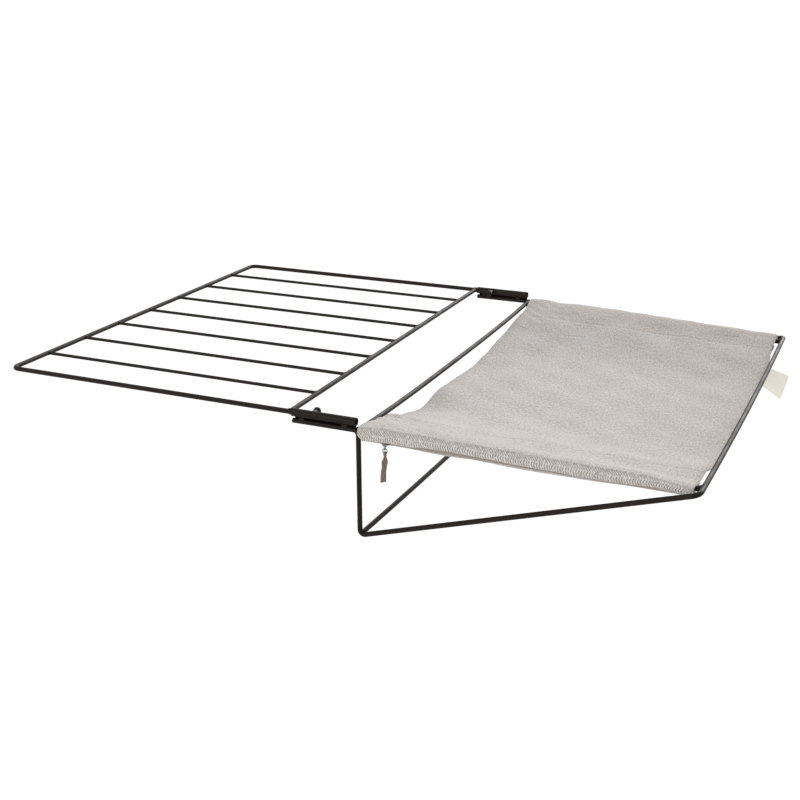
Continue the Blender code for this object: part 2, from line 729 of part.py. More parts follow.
def strap_path():
    """The folded strap from the end of one layer over the ring to the end of the other."""
    ring_rise = RING_RADIUS - math.sqrt(RING_RADIUS ** 2 - (STRAP_NECK_WIDTH / 2) ** 2)
    fold = PULL_WIRE_DIAMETER / 2 + ring_rise + SEAT_GAP + STRAP_THICKNESS / 2
    layer = (STRAP_THICKNESS + STRAP_SPLIT) / 2
    path = [(-layer, -STRAP_LENGTH), (-layer, -STRAP_NECK_LENGTH)]
    for step in range(BEAD_STEPS + 1):
        angle = math.pi * (1 - step / BEAD_STEPS)
        path.append((fold * math.cos(angle), fold * math.sin(angle)))
    return path + [(layer, -STRAP_NECK_LENGTH), (layer, -STRAP_LENGTH + STRAP_STEP)]


def make_zip(side_name, side):
    """Two tapes, the slider with its bridge, and the pull that hangs from it."""
    along, across, out = zip_directions(side)
    start_x = CLOTH_LEFT_X + ZIP_START
    end_x = CLOTH_RIGHT_X - ZIP_END_INSET
    start = zip_centre(side, start_x)
    end = zip_centre(side, end_x)
    tape_matrix = columns(across, out, along, (start + end) / 2)
    for tape_name, sign in (("outer", side), ("inner", -side)):
        extruded(f"{side_name}_{tape_name}_zip_tape", tape_outline(sign), (end - start).length, TAPE,
                 tape_matrix)
    place = zip_centre(side, CLOTH_LEFT_X + SLIDER_PLACE)
    frame = columns(along, across, out, place)
    seat = pivot_empty(f"{side_name}_zip_seat", frame)
    plate_lift = TEETH_DIAMETER / 2 + SEAT_GAP + SLIDER_PLATE / 2
    slider = bpy.data.objects.new(f"{side_name}_zip_slider",
                                  box_mesh("slider_plate", SLIDER_LENGTH, SLIDER_WIDTH, SLIDER_PLATE))
    slider.matrix_world = frame @ Matrix.Translation((0.0, 0.0, plate_lift))
    link(slider, PULL_METAL)
    inner_plate = cutter(f"{side_name}_slider_inner_plate",
                         box_mesh("inner_plate", SLIDER_LENGTH, SLIDER_WIDTH, SLIDER_PLATE),
                         frame @ Matrix.Translation((0.0, 0.0, -plate_lift)))
    neck = cutter(f"{side_name}_slider_neck",
                  box_mesh("neck", SLIDER_NECK_LENGTH, ZIP_SLIT - 2 * SEAT_GAP, 2 * plate_lift), frame)
    boolean(slider, neck, "UNION")
    boolean(slider, inner_plate, "UNION")
    bridge = as_mesh(extruded(f"{side_name}_bridge", bridge_outline(), BRIDGE_WIDTH, PULL_METAL,
                              columns(along, out, -across, place), cutters), cutters)
    boolean(slider, as_guide(bridge), "UNION")
    attach(slider, seat)
    make_pull(side_name, side, seat, across, out)


def make_pull(side_name, side, seat, across, out):
    """The wire loop in the slider's bridge, the jump ring in the loop and the strap on the ring."""
    lift = TEETH_DIAMETER / 2 + SLIDER_PLATE + 2 * SEAT_GAP + PULL_WIRE_DIAMETER / 2
    pivot = seat.matrix_world.translation + out * lift
    outward = across * side
    outer_corner = pivot + outward * LOOP_OUTER_REACH
    inner_corner = pivot - outward * LOOP_INNER_REACH
    low_corner = pivot - Vector((0.0, 0.0, LOOP_DROP))
    apex_bend = arc_points(low_corner, outer_corner, inner_corner, LOOP_APEX_RADIUS)
    loop_path = (apex_bend
                 + arc_points(inner_corner, low_corner, outer_corner, LOOP_CORNER_RADIUS)
                 + arc_points(outer_corner, inner_corner, low_corner, LOOP_CORNER_RADIUS))
    swing = pivot_empty(f"{side_name}_pull_pivot", Matrix.Translation(pivot), seat)
    attach(wire(f"{side_name}_pull_loop", loop_path, PULL_WIRE_DIAMETER, PULL_METAL,
                FINE_WIRE_RESOLUTION, closed=True), swing)
    apex = apex_bend[BEND_STEPS // 2]
    ring_centre = apex + Vector((0.0, 0.0, PULL_WIRE_DIAMETER + SEAT_GAP - RING_RADIUS))
    ring_path = []
    for step in range(ROUND_SEGMENTS):
        angle = math.tau * step / ROUND_SEGMENTS
        ring_path.append(ring_centre + RING_RADIUS * Vector((math.cos(angle), 0.0, math.sin(angle))))
    hanger = pivot_empty(f"{side_name}_ring_pivot", Matrix.Translation(apex), swing)
    attach(wire(f"{side_name}_jump_ring", ring_path, PULL_WIRE_DIAMETER, PULL_METAL,
                FINE_WIRE_RESOLUTION, closed=True), hanger)
    make_strap(side_name, ring_centre - Vector((0.0, 0.0, RING_RADIUS)), hanger)


def make_strap(side_name, fold_centre, hanger):
    """A leather strip folded over the ring, narrow where it passes through."""
    strap_matrix = columns(Vector((0.0, 1.0, 0.0)), Vector((0.0, 0.0, 1.0)), Vector((1.0, 0.0, 0.0)),
                           fold_centre)
    strap = as_mesh(extruded(f"{side_name}_pull_strap", ribbon_outline(strap_path(), STRAP_THICKNESS),
                             STRAP_WIDTH, LEATHER, strap_matrix))
    notch_width = STRAP_WIDTH / 2 - STRAP_NECK_WIDTH / 2 + CUT_OVERRUN
    notch_height = STRAP_NECK_LENGTH + RING_RADIUS + CUT_OVERRUN
    for notch_name, sign in (("left", -1), ("right", 1)):
        middle = fold_centre + Vector((sign * (STRAP_NECK_WIDTH + notch_width) / 2, 0.0,
                                       notch_height / 2 - STRAP_NECK_LENGTH))
        boolean(strap, cutter(f"{side_name}_{notch_name}_notch",
                              box_mesh("strap_notch", notch_width, RING_DIAMETER, notch_height),
                              Matrix.Translation(middle)))
    attach(strap, hanger)


for side_name, side in SIDES:
    make_zip(side_name, side)


# Woven label: a flat tab in the cloth's outer edge that slopes out below the rail, more at its front.
def label_point(column, row):
    """A corner of the label's grid, from its rear side to its front side and out from the cloth."""
    across = column / LABEL_STEPS_ACROSS
    inward = LABEL_REAR_INSET + LABEL_WIDTH * across
    y = HALF_WIDTH - inward
    drop = LABEL_DROP + LABEL_TILT * across
    reach = math.sqrt(LABEL_LENGTH ** 2 - drop ** 2)
    lower_corner_lean = LABEL_THICKNESS * (LABEL_DROP + LABEL_TILT) / LABEL_LENGTH
    root_x = right_edge_x(y) + SEAT_GAP + lower_corner_lean
    root_z = panel_height(CLOTH_RIGHT_X, inward) - (CLOTH_THICKNESS - LABEL_THICKNESS) / 2
    share = row / LABEL_STEPS_OUT
    return Vector((root_x + reach * share, y, root_z - drop * share))


sheet("woven_label", LABEL_STEPS_ACROSS, LABEL_STEPS_OUT, label_point, LABEL_THICKNESS, LABEL_CLOTH)
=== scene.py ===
# %% [markdown]
# # A radiator cat bed, dressed piece by piece
#
# The bed is a cloth hammock in a bent wire frame. Two short rods lie on a sill or a radiator, the legs
# hang down in front of it, and a ladder rack slides in two tubes to suit the depth of the sill.
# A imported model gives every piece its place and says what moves. This lesson gives each piece its
# finished surface: fine wires, thick tweed with hems and seams, zips, a leather pull and a label.
#
# Lengths are in metres. X runs out from the wall, Y along the sill and Z up. The origin is the middle
# of the sill's front top edge.

import math

import bmesh
import bpy
import numpy as np
from mathutils import Matrix


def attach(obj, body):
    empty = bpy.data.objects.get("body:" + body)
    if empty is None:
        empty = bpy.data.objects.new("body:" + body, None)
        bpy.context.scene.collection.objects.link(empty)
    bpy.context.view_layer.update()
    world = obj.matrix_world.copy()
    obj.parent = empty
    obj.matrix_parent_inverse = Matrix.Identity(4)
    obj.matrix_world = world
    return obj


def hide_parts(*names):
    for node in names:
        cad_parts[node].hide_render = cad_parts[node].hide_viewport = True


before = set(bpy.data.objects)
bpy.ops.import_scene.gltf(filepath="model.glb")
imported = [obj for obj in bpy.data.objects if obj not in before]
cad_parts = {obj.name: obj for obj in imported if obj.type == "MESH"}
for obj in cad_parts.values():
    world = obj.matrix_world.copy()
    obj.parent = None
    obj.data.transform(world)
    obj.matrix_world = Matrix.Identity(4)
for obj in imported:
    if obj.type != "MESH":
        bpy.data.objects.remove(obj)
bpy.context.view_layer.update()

# %% [markdown]
# ## The camera
#
# A camera could be placed by eye until the picture looks right. Here it was solved instead: the frame
# has right angles and straight wires, so the corners seen in the picture fix where the camera stood.
# It is described by three turns, as on a tripod: round the upright axis, down towards the floor, and
# a small tilt of the horizon.

# %% Camera
CAMERA_PLACE = (0.48295, -1.2183, 0.42195)
CAMERA_YAW = math.radians(24.2987)
CAMERA_PITCH = math.radians(19.8138)
CAMERA_ROLL = math.radians(-0.3251)
CAMERA_LENS = 55.38


def camera_axes(yaw, pitch, roll):
    """The camera's right, up and forward directions.

    forward = (-sin yaw cos pitch, cos yaw cos pitch, -sin pitch), right is level, up is their cross
    product, and the roll turns right and up about forward.
    """
    forward = np.array((-math.sin(yaw) * math.cos(pitch), math.cos(yaw) * math.cos(pitch),
                        -math.sin(pitch)))
    level = np.array((math.cos(yaw), math.sin(yaw), 0.0))
    upright = np.cross(level, forward)
    right = math.cos(roll) * level + math.sin(roll) * upright
    up = math.cos(roll) * upright - math.sin(roll) * level
    return right, up, forward


right, up, forward = camera_axes(CAMERA_YAW, CAMERA_PITCH, CAMERA_ROLL)
camera = bpy.data.objects.new("camera", bpy.data.cameras.new("camera"))
camera.data.lens = CAMERA_LENS
camera.data.sensor_width = 36
camera.matrix_world = Matrix(np.column_stack((right, up, -forward)).tolist()).to_4x4()
camera.location = CAMERA_PLACE
bpy.context.scene.collection.objects.link(camera)
bpy.context.scene.camera = camera
bpy.context.scene.view_settings.view_transform = "Standard"
print("camera looks along", forward.round(4))

# %% [markdown]
# ## Shader maths as plain expressions
#
# A procedural material is a sum of small steps: take a position, make a wave of it, mix two colours by
# the wave. Adding and linking every node by hand hides the idea. One small class wraps a node's socket
# and lets it stand in an ordinary expression, so `1 - wave * 0.5` adds its own Math nodes. Every other
# node comes from one method, which takes the node's type, its settings and its sockets.

# %% The class for shader maths
UV_NAME = "cloth"


class Term:
    """A node's output that takes part in sums, or the start of a new expression in a node tree."""

    def __init__(self, tree, socket=None):
        self.tree = tree
        self.socket = socket

    def node(self, kind, settings=None, sockets=None, output=0):
        """Add a node: its settings are set first, then each socket gets a value or a link."""
        made = self.tree.nodes.new(kind)
        for name, value in (settings or {}).items():
            setattr(made, name, value)
        for name, value in (sockets or {}).items():
            if isinstance(value, Term):
                self.tree.links.new(value.socket, made.inputs[name])
            else:
                made.inputs[name].default_value = value
        return Term(self.tree, made.outputs[output])

    def math(self, operation, first, second=0.0):
        return self.node("ShaderNodeMath", {"operation": operation}, {0: first, 1: second})

    def __add__(self, other):
        return self.math("ADD", self, other)

    def __radd__(self, other):
        return self.math("ADD", other, self)

    def __sub__(self, other):
        return self.math("SUBTRACT", self, other)

    def __rsub__(self, other):
        return self.math("SUBTRACT", other, self)

    def __mul__(self, other):
        return self.math("MULTIPLY", self, other)

    def __rmul__(self, other):
        return self.math("MULTIPLY", other, self)

    def __truediv__(self, other):
        return self.math("DIVIDE", self, other)

    def wave(self):
        """A smooth wave from 0 to 1, one for each whole number: 0.5 + 0.5 cos(2 pi t)."""
        return 0.5 + 0.5 * self.math("COSINE", self * math.tau)

    def zigzag(self):
        """A straight zigzag from 1 down to 0 and up to 1, one for each whole number."""
        return self.math("ABSOLUTE", 2.0 * self.math("FRACT", self) - 1.0)

    def step(self, low, high):
        """A smooth step from 0 at low to 1 at high."""
        return self.node("ShaderNodeMapRange", {"interpolation_type": "SMOOTHSTEP"},
                         {"Value": self, "From Min": low, "From Max": high})

    def blend(self, first, second):
        """A colour between two others, by this mask."""
        return self.node("ShaderNodeMix", {"data_type": "RGBA"}, {0: self, 6: first, 7: second}, 2)

    def noise(self, scale, detail=2.0, roughness=0.5):
        """Cloudy noise from 0 to 1 at this position."""
        return self.node("ShaderNodeTexNoise", None,
                         {"Vector": self, "Scale": scale, "Detail": detail, "Roughness": roughness})

    def place(self):
        """The position in the piece's own coordinates."""
        return self.node("ShaderNodeTexCoord", output="Object")

    def laid(self):
        """The position on the cloth's UV map, and its two parts: along the cloth and across it."""
        position = self.node("ShaderNodeUVMap", {"uv_map": UV_NAME})
        parts = self.node("ShaderNodeSeparateXYZ", None, {0: position}).socket.node
        return position, Term(self.tree, parts.outputs["X"]), Term(self.tree, parts.outputs["Y"])


def new_finish(name, **constants):
    """A material whose shader has these constants, with the start of its expressions."""
    material = bpy.data.materials.new(name)
    material.use_nodes = True
    shader = material.node_tree.nodes["Principled BSDF"]
    for socket_name, value in constants.items():
        shader.inputs[socket_name.replace("_", " ").title().replace("Ior", "IOR")].default_value = value
    return material, shader, Term(material.node_tree)


def feed(shader, socket_name, term):
    """Let an expression drive one of the shader's sockets."""
    term.tree.links.new(term.socket, shader.inputs[socket_name])


def feed_bump(shader, height, distance, strength):
    """Let a height from 0 to 1 tilt the surface, as if it stood that distance proud."""
    feed(shader, "Normal", height.node("ShaderNodeBump", None,
                                       {"Height": height, "Distance": distance, "Strength": strength}))


def feed_colour(shader, mask, first, second):
    """Let a mask drive the colour between two others, each three numbers from 0 to 1."""
    feed(shader, "Base Color", mask.blend((*first, 1.0), (*second, 1.0)))


print("shader maths ready")

# %% [markdown]
# ## A pale studio
#
# The bed is shown on plain white. The simplest white is a very strong lamp, but that would bleach the
# cloth too. Here the camera sees a white world and a pale floor with a little glow of its own, but they
# light the bed less than they seem to, and the lamps stay at a level where a colour shows about as it
# is written. The main lamp is a low, wide one behind the bed: it puts grey tops on the wires that run
# along the sill and leaves the others dark. A weaker one lights the front. The floor lies well below,
# as under a radiator, so the bed's shadow on it is faint.

# %% Floor, world and lamps
FLOOR_HEIGHT = -0.75
FLOOR_REACH = 60.0
FLOOR_TONE = 0.82
FLOOR_GLOW = 0.22
WORLD_LEVEL = 0.51
BLACK = (0.0, 0.0, 0.0, 1.0)
WHITE = (1.0, 1.0, 1.0, 1.0)


def seen_directly(start):
    """1 for rays from the camera, reflected ones and ones that pass through: they show the backdrop."""
    path = start.node("ShaderNodeLightPath", output="Is Camera Ray").socket.node
    camera_ray, glossy_ray, clear_ray = (Term(start.tree, path.outputs[name]) for name in (
        "Is Camera Ray", "Is Glossy Ray", "Is Transmission Ray"))
    return (camera_ray + glossy_ray + clear_ray).step(0.0, 1.0)


world = bpy.data.worlds.new("white_studio")
world.use_nodes = True
bpy.context.scene.world = world
background = world.node_tree.nodes["Background"]
background.inputs["Color"].default_value = WHITE
world_level = seen_directly(Term(world.node_tree)) * (1.0 - WORLD_LEVEL) + WORLD_LEVEL
world.node_tree.links.new(world_level.socket, background.inputs["Strength"])

floor_finish, floor_shader, start = new_finish("pale_floor", roughness=0.9, specular_ior_level=0.0,
                                               base_color=(FLOOR_TONE, FLOOR_TONE, FLOOR_TONE, 1.0),
                                               emission_strength=1.0)
feed(floor_shader, "Emission Color", (seen_directly(start) * FLOOR_GLOW).blend(BLACK, WHITE))

floor_mesh = bpy.data.meshes.new("floor")
floor_corners = [(x * FLOOR_REACH, y * FLOOR_REACH, FLOOR_HEIGHT)
                 for x, y in ((-1, -1), (1, -1), (1, 1), (-1, 1))]
floor_mesh.from_pydata(floor_corners, [], [(0, 1, 2, 3)])
floor_mesh.materials.append(floor_finish)
floor = bpy.data.objects.new("floor", floor_mesh)
bpy.context.scene.collection.objects.link(floor)


def add_sun(name, elevation, azimuth, strength, spread):
    """A soft studio light from one side. Azimuth 0 shines from the front, 90 from the right."""
    lamp = bpy.data.lights.new(name, "SUN")
    lamp.energy = strength
    lamp.angle = math.radians(spread)
    item = bpy.data.objects.new(name, lamp)
    item.rotation_euler = (math.radians(90 - elevation), 0.0, math.radians(azimuth))
    bpy.context.scene.collection.objects.link(item)


add_sun("window_behind", 28, 172, 2.60, 40)
add_sun("front_light", 20, -20, 0.95, 50)
print("white studio made")

# %% [markdown]
# ## Surfaces from numpy
#
# Every new piece is a surface of two parameters on a grid: the rows run one way, the columns the other.
# The corners are worked out as whole arrays, and one rule turns the grid into faces. A tube is a ring
# carried along a path, and a turned piece is a profile carried round an axis, so the same few helpers
# make the wires, the screws, the cloth and the zip's teeth.

# %% Grid helpers
ROD_EDGE = 0.0004


def unit(vectors):
    """Each vector divided by its own length."""
    vectors = np.asarray(vectors, float)
    return vectors / np.linalg.norm(vectors, axis=-1, keepdims=True)


def points(x, y, z):
    """Three arrays, spread to one shape, as one array of places."""
    return np.stack(np.broadcast_arrays(x, y, z), -1)


def turns(count):
    """Evenly spaced angles, once round."""
    return np.arange(count) / count * math.tau


def around(angle, first, second):
    """cos a first + sin a second for each angle: a circle in the plane of two directions."""
    return np.cos(angle)[:, None] * first + np.sin(angle)[:, None] * second


def rounded(angle, power):
    """A rounded rectangle |u|^(2/p) + |v|^(2/p) = 1: each of cos a and sin a to the power p, signs kept."""
    return [np.sign(wave) * np.abs(wave) ** power for wave in (np.cos(angle), np.sin(angle))]


def grid_faces(rows, columns, join_rows=False, join_columns=False):
    """Four corner numbers for each cell, where corner (r, c) has the number r * columns + c."""
    row = np.arange(rows if join_rows else rows - 1)
    column = np.arange(columns if join_columns else columns - 1)
    row, column = np.meshgrid(row, column, indexing="ij")
    next_row = (row + 1) % rows
    next_column = (column + 1) % columns
    corners = (row * columns + column, row * columns + next_column,
               next_row * columns + next_column, next_row * columns + column)
    return np.stack(corners, -1).reshape(-1, 4)


def shells(grids, join_rows=False, join_columns=True, caps=True):
    """Corners and faces of many equal grids at once, shaped (copy, row, column, xyz)."""
    copies, rows, columns = grids.shape[:3]
    faces = grid_faces(rows, columns, join_rows, join_columns)
    step = rows * columns
    everything = (faces[None] + np.arange(copies)[:, None, None] * step).reshape(-1, 4).tolist()
    if caps and not join_rows:
        first = np.arange(columns)[None] + np.arange(copies)[:, None] * step
        everything += first.tolist()
        everything += (first + (rows - 1) * columns).tolist()
    return grids.reshape(-1, 3), everything


def merged(*parts):
    """Several (corners, faces) pairs as one."""
    corners = []
    faces = []
    for part_corners, part_faces in parts:
        start = sum(len(block) for block in corners)
        corners.append(part_corners)
        faces += [[number + start for number in face] for face in part_faces]
    return np.concatenate(corners), faces


def make_piece(name, shape, finish, body, stands_for=(), sharp=35, closed=True):
    """A piece of the bed from its corners and faces, riding on a body."""
    corners, faces = shape
    mesh = bpy.data.meshes.new(name)
    mesh.from_pydata(np.asarray(corners).tolist(), [], faces)
    if closed:
        work = bmesh.new()
        work.from_mesh(mesh)
        bmesh.ops.recalc_face_normals(work, faces=work.faces)
        work.to_mesh(mesh)
        work.free()
    mesh.shade_smooth()
    mesh.set_sharp_from_angle(angle=math.radians(sharp))
    mesh.materials.append(finish)
    item = bpy.data.objects.new(name, mesh)
    bpy.context.scene.collection.objects.link(item)
    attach(item, body)
    if stands_for:
        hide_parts(*stands_for)
    print(f"{name}: {len(mesh.vertices)} corners, {len(mesh.polygons)} faces")
    return item


def tube(path, radius, sides, reference, closed=False):
    """A ring carried along a path: path + radius (cos a first + sin a second), for one ring a point.

    The first direction is reference x tangent and the second is tangent x first.
    """
    path = np.asarray(path, float)
    radius = np.broadcast_to(radius, len(path))[:, None, None]
    ahead = np.roll(path, -1, axis=0) - np.roll(path, 1, axis=0) if closed else np.gradient(path, axis=0)
    tangent = unit(ahead)
    first = unit(np.cross(reference, tangent))
    second = np.cross(tangent, first)
    grid = path[:, None] + radius * around(turns(sides), first[:, None], second[:, None])
    return shells(grid[None], join_rows=closed)


def rod(path, diameter, reference, sides=20):
    """A round wire with its end edges rounded off: the tube narrows over its last bit."""
    path = np.asarray(path, float)
    start = unit(path[1] - path[0]) * ROD_EDGE
    end = unit(path[-1] - path[-2]) * ROD_EDGE
    longer = np.concatenate((path[:1], path[:1] + start, path[1:-1], path[-1:] - end, path[-1:]))
    radius = np.full(len(longer), diameter / 2)
    radius[[0, -1]] -= ROD_EDGE
    return tube(longer, radius, sides, reference)


def turned(profile, origin, axis, sides=48, wobble=None, joined=False):
    """A profile of (radius, height) pairs carried round an axis; wobble takes a depth off the radius."""
    profile = np.asarray(profile, float)
    axis = unit(axis)
    first = unit(np.cross(axis, (0.31, 0.52, 0.79)))
    second = np.cross(axis, first)
    angle = turns(sides)
    radius = profile[:, 0, None] * np.ones(sides)
    if wobble is not None:
        radius = radius - wobble(radius, angle)
    ring = radius[..., None] * around(angle, first, second)
    grid = np.asarray(origin) + profile[:, 1, None, None] * axis + ring
    return shells(grid[None], join_rows=joined)


print("surface helpers ready")

# %% [markdown]
# ## Satin black paint
#
# The wires, brackets and screws have one coat of satin paint, a very dark brown that is almost black.
# Flat black would look cut out. The coat of a real wire rack is a little uneven, so slow noise varies
# the colour and the gloss, and fine noise gives the faint orange peel that breaks up a reflection.

# %% Paint finish
paint, paint_shader, start = new_finish("satin_black_paint", specular_ior_level=0.19,
                                        specular_tint=(1.0, 0.93, 0.84, 1.0))
place = start.place()
patches = place.noise(45.0, 3.0).step(0.35, 0.65)
peel = place.noise(1400.0, 2.0)
feed_colour(paint_shader, patches, (0.0030, 0.0022, 0.0016), (0.0090, 0.0068, 0.0050))
feed(paint_shader, "Roughness", 0.47 + patches * 0.10)
feed_bump(paint_shader, peel, 0.00006, 0.5)

# Painted shade: the web deep between the tube and the rod gets a darker paint with next to no gloss, so the
# slot shows black.
shaded_web_paint, shaded_web_shader, start = new_finish("painted_shade_web_paint", roughness=0.9, specular_ior_level=0.02)
place = start.place()
feed_colour(shaded_web_shader, place.noise(600.0), (0.0020, 0.0015, 0.0012), (0.0060, 0.0048, 0.0040))
print("paints:", paint.name, shaded_web_paint.name)

# %% [markdown]
# ## The frame's bent wire
#
# One long wire makes the two rods on the sill, the legs, the slanting stays and the outer rail. A wire
# could be drawn as a curve with a bevel. Here its path is worked out, straight runs joined by round
# bends, and a ring is carried along it. In each bend the path is an arc that touches both runs. The
# outer rail isn't quite straight: the cloth lets it bow outward by two millimetres.

# %% Path of the frame wire
WIRE = 0.0050
THIN_WIRE = 0.0035
HALF_WIDTH = 0.2500
LEG_X = 0.0025
ARM_Z = 0.0025
ARM_LENGTH = 0.0700
LEG_DROP = 0.1090
RAIL_X = 0.3225
RAIL_Z = -0.0068
RAIL_BOW = 0.0021
RAIL_BOWED_SHARE = 0.93
ARM_BEND = 0.0050
LEG_BEND = 0.0045
RAIL_BEND = 0.0070
BEND_STEPS = 12
CURVE_POINTS = 41


def bend(corner, before, after, radius, steps=BEND_STEPS):
    """The arc that replaces a corner: its centre lies on the bisector, radius / sin(half angle) away."""
    towards = unit(before - corner)
    onwards = unit(after - corner)
    half_angle = math.acos(float(np.dot(towards, onwards))) / 2
    centre = corner + unit(towards + onwards) * radius / math.sin(half_angle)
    start = corner + towards * radius / math.tan(half_angle) - centre
    end = corner + onwards * radius / math.tan(half_angle) - centre
    sweep = math.pi - 2 * half_angle
    share = np.linspace(0, 1, steps + 1)[:, None]
    return centre + (np.sin((1 - share) * sweep) * start + np.sin(share * sweep) * end) / math.sin(sweep)


def bent_path(corners, *radii):
    """A path through its corners, with each inner corner rounded."""
    corners = np.asarray(corners, float)
    middle = [bend(corners[i], corners[i - 1], corners[i + 1], radius)
              for i, radius in enumerate(radii, start=1)]
    return np.concatenate([corners[:1], *middle, corners[-1:]])


def rail_x(y):
    """The outer rail's line: RAIL_X plus a bow that falls off with the square of y."""
    return RAIL_X + RAIL_BOW * (1 - (y / HALF_WIDTH) ** 2)


def wire_piece(name, path, reference, body, node, diameter=WIRE, sides=20):
    """A painted wire along a path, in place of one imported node."""
    make_piece(name, rod(path, diameter, reference, sides), paint, body, [node])


rail_y = np.linspace(-RAIL_BOWED_SHARE, RAIL_BOWED_SHARE, CURVE_POINTS) * HALF_WIDTH
rail_line = points(rail_x(rail_y), rail_y, RAIL_Z)
front_side = np.array(((LEG_X - ARM_LENGTH, -HALF_WIDTH, ARM_Z), (LEG_X, -HALF_WIDTH, ARM_Z),
                       (LEG_X, -HALF_WIDTH, ARM_Z - LEG_DROP), (RAIL_X, -HALF_WIDTH, RAIL_Z)))
rear_side = front_side[::-1] * (1, -1, 1)
frame_path = np.concatenate((bent_path([*front_side, rail_line[0]], ARM_BEND, LEG_BEND, RAIL_BEND),
                             rail_line[1:-1],
                             bent_path([rail_line[-1], *rear_side], RAIL_BEND, LEG_BEND, ARM_BEND)))
wire_piece("bent_frame_wire", frame_path, (1, 1, 1), "hammock", "frame_wire")


def path_length(path):
    """The sum of the distances from each point of a path to the next."""
    return float(np.linalg.norm(np.diff(path, axis=0), axis=1).sum())


print("frame wire is", round(path_length(frame_path), 3), "m long")

# %% [markdown]
# ## Cross rails and side rods
#
# The cross rails and the side rods are cut to length and welded in. Each is a path with a ring carried
# along it. The side rods are straight. The top cross rail sags by four millimetres and the bottom one
# bows outward by three. The ends stop just short of the wire they meet, and a weld closes the gap.

# %% Cross rails and side rods
END_GAP = 0.0003
RAIL_END = HALF_WIDTH - WIRE / 2 - END_GAP
TOP_RAIL_SAG = 0.0042
BOTTOM_RAIL_BOW = 0.0031


def straight(start, end, steps=12):
    """Evenly spaced points from start to end."""
    share = np.linspace(0, 1, steps)[:, None]
    return np.asarray(start) * (1 - share) + np.asarray(end) * share


# The top rail's drop falls off with the cube of the way out, the bottom rail's bow with the square.
# The bottom rail meets the legs at the middle of their lower bend.
share = np.linspace(-1, 1, CURVE_POINTS)
bottom_x, _, bottom_z = bend(front_side[2], front_side[1], front_side[3], LEG_BEND)[BEND_STEPS // 2]
top_path = points(LEG_X, share * RAIL_END, ARM_Z - TOP_RAIL_SAG * (1 - np.abs(share) ** 3))
bottom_path = points(bottom_x + BOTTOM_RAIL_BOW * (1 - share ** 2), share * RAIL_END, bottom_z)
for name, path in (("top", top_path), ("bottom", bottom_path)):
    wire_piece(f"{name}_rail_wire", path, (1, 0, 1), "hammock", f"{name}_cross_rail")

ROD_LEFT = np.array((0.0054, 0.0053, ARM_Z))
ROD_RIGHT = np.array((0.3196, 0.0170, ARM_Z - 0.0110))


def on_side(side, x, inward, z):
    """A place by its distance in from the front or the rear side, where side is -1 or 1."""
    return points(x, side * (HALF_WIDTH - np.asarray(inward)), z)


SIDES = (("front", -1), ("rear", 1))
for side_name, side in SIDES:
    path = straight(on_side(side, *ROD_LEFT), on_side(side, *ROD_RIGHT))
    wire_piece(f"{side_name}_sleeve_rod", path, (0, 0, 1), "hammock", f"{side_name}_side_rod")

# %% [markdown]
# ## The ladder rack
#
# The rack lies on the sill. A U-bent wire makes its far side and both long sides, which run into the
# bracket tubes. A stop rail crosses it just outside the tubes, and seven thin rods run between.

# %% Ladder wires
LADDER_LEFT = -0.4080
LADDER_RIGHT = -0.0015
LADDER_Z = 0.0108
LADDER_BEND = 0.0080
STOP_X = -0.0706
ROD_COUNT = 7
ROD_PITCH = 0.0640

ladder_corners = [(LADDER_RIGHT, -HALF_WIDTH, LADDER_Z), (LADDER_LEFT, -HALF_WIDTH, LADDER_Z),
                  (LADDER_LEFT, HALF_WIDTH, LADDER_Z), (LADDER_RIGHT, HALF_WIDTH, LADDER_Z)]
wire_piece("rack_wire", bent_path(ladder_corners, LADDER_BEND, LADDER_BEND), (0, 0, 1), "ladder_rack",
           "ladder_wire")
wire_piece("rack_stop_rail", straight((STOP_X, -RAIL_END, LADDER_Z), (STOP_X, RAIL_END, LADDER_Z)),
           (0, 0, 1), "ladder_rack", "ladder_stop_rail")
cross_y = (np.arange(ROD_COUNT) - ROD_COUNT // 2) * ROD_PITCH
rod_gap = WIRE / 2 + END_GAP
for number, y in enumerate(cross_y, start=1):
    wire_piece(f"rack_cross_rod_{number}",
               straight((LADDER_LEFT + rod_gap, y, LADDER_Z), (STOP_X - rod_gap, y, LADDER_Z)), (0, 0, 1),
               "ladder_rack", f"ladder_cross_rod_{number}", THIN_WIRE, 16)

# %% [markdown]
# ## Welds
#
# Each joint has a small bead of weld metal. It could be a ball stuck on the joint, but a real bead
# flares from the thin wire onto the thick one. So each bead is a collar round the ending wire, wide
# where it touches the other wire and narrowing to nothing, and its foot follows the other wire's
# roundness.

# %% Weld beads
RAIL_THROAT = 0.0009
THIN_THROAT = 0.0011
SLEEVE_THROAT = 0.0020
# A bead reaches this many throats along the ending wire, its inside lies at this share of the wire's
# radius, and its foot is sunk this deep.
BEAD_REACH = 1.6
BEAD_INSIDE = 0.7
BEAD_SINK = 0.0001
# Where a sleeve rod meets the outer rail, just inside the rail's corner.
SLEEVE_FOOT_X = RAIL_X + 0.0001
SLEEVE_FOOT_Z = RAIL_Z - 0.0008
RIGHTWARD = (1.0, 0.0, 0.0)
LEFTWARD = (-1.0, 0.0, 0.0)
ALONG_RAIL = (0.0, 1.0, 0.0)


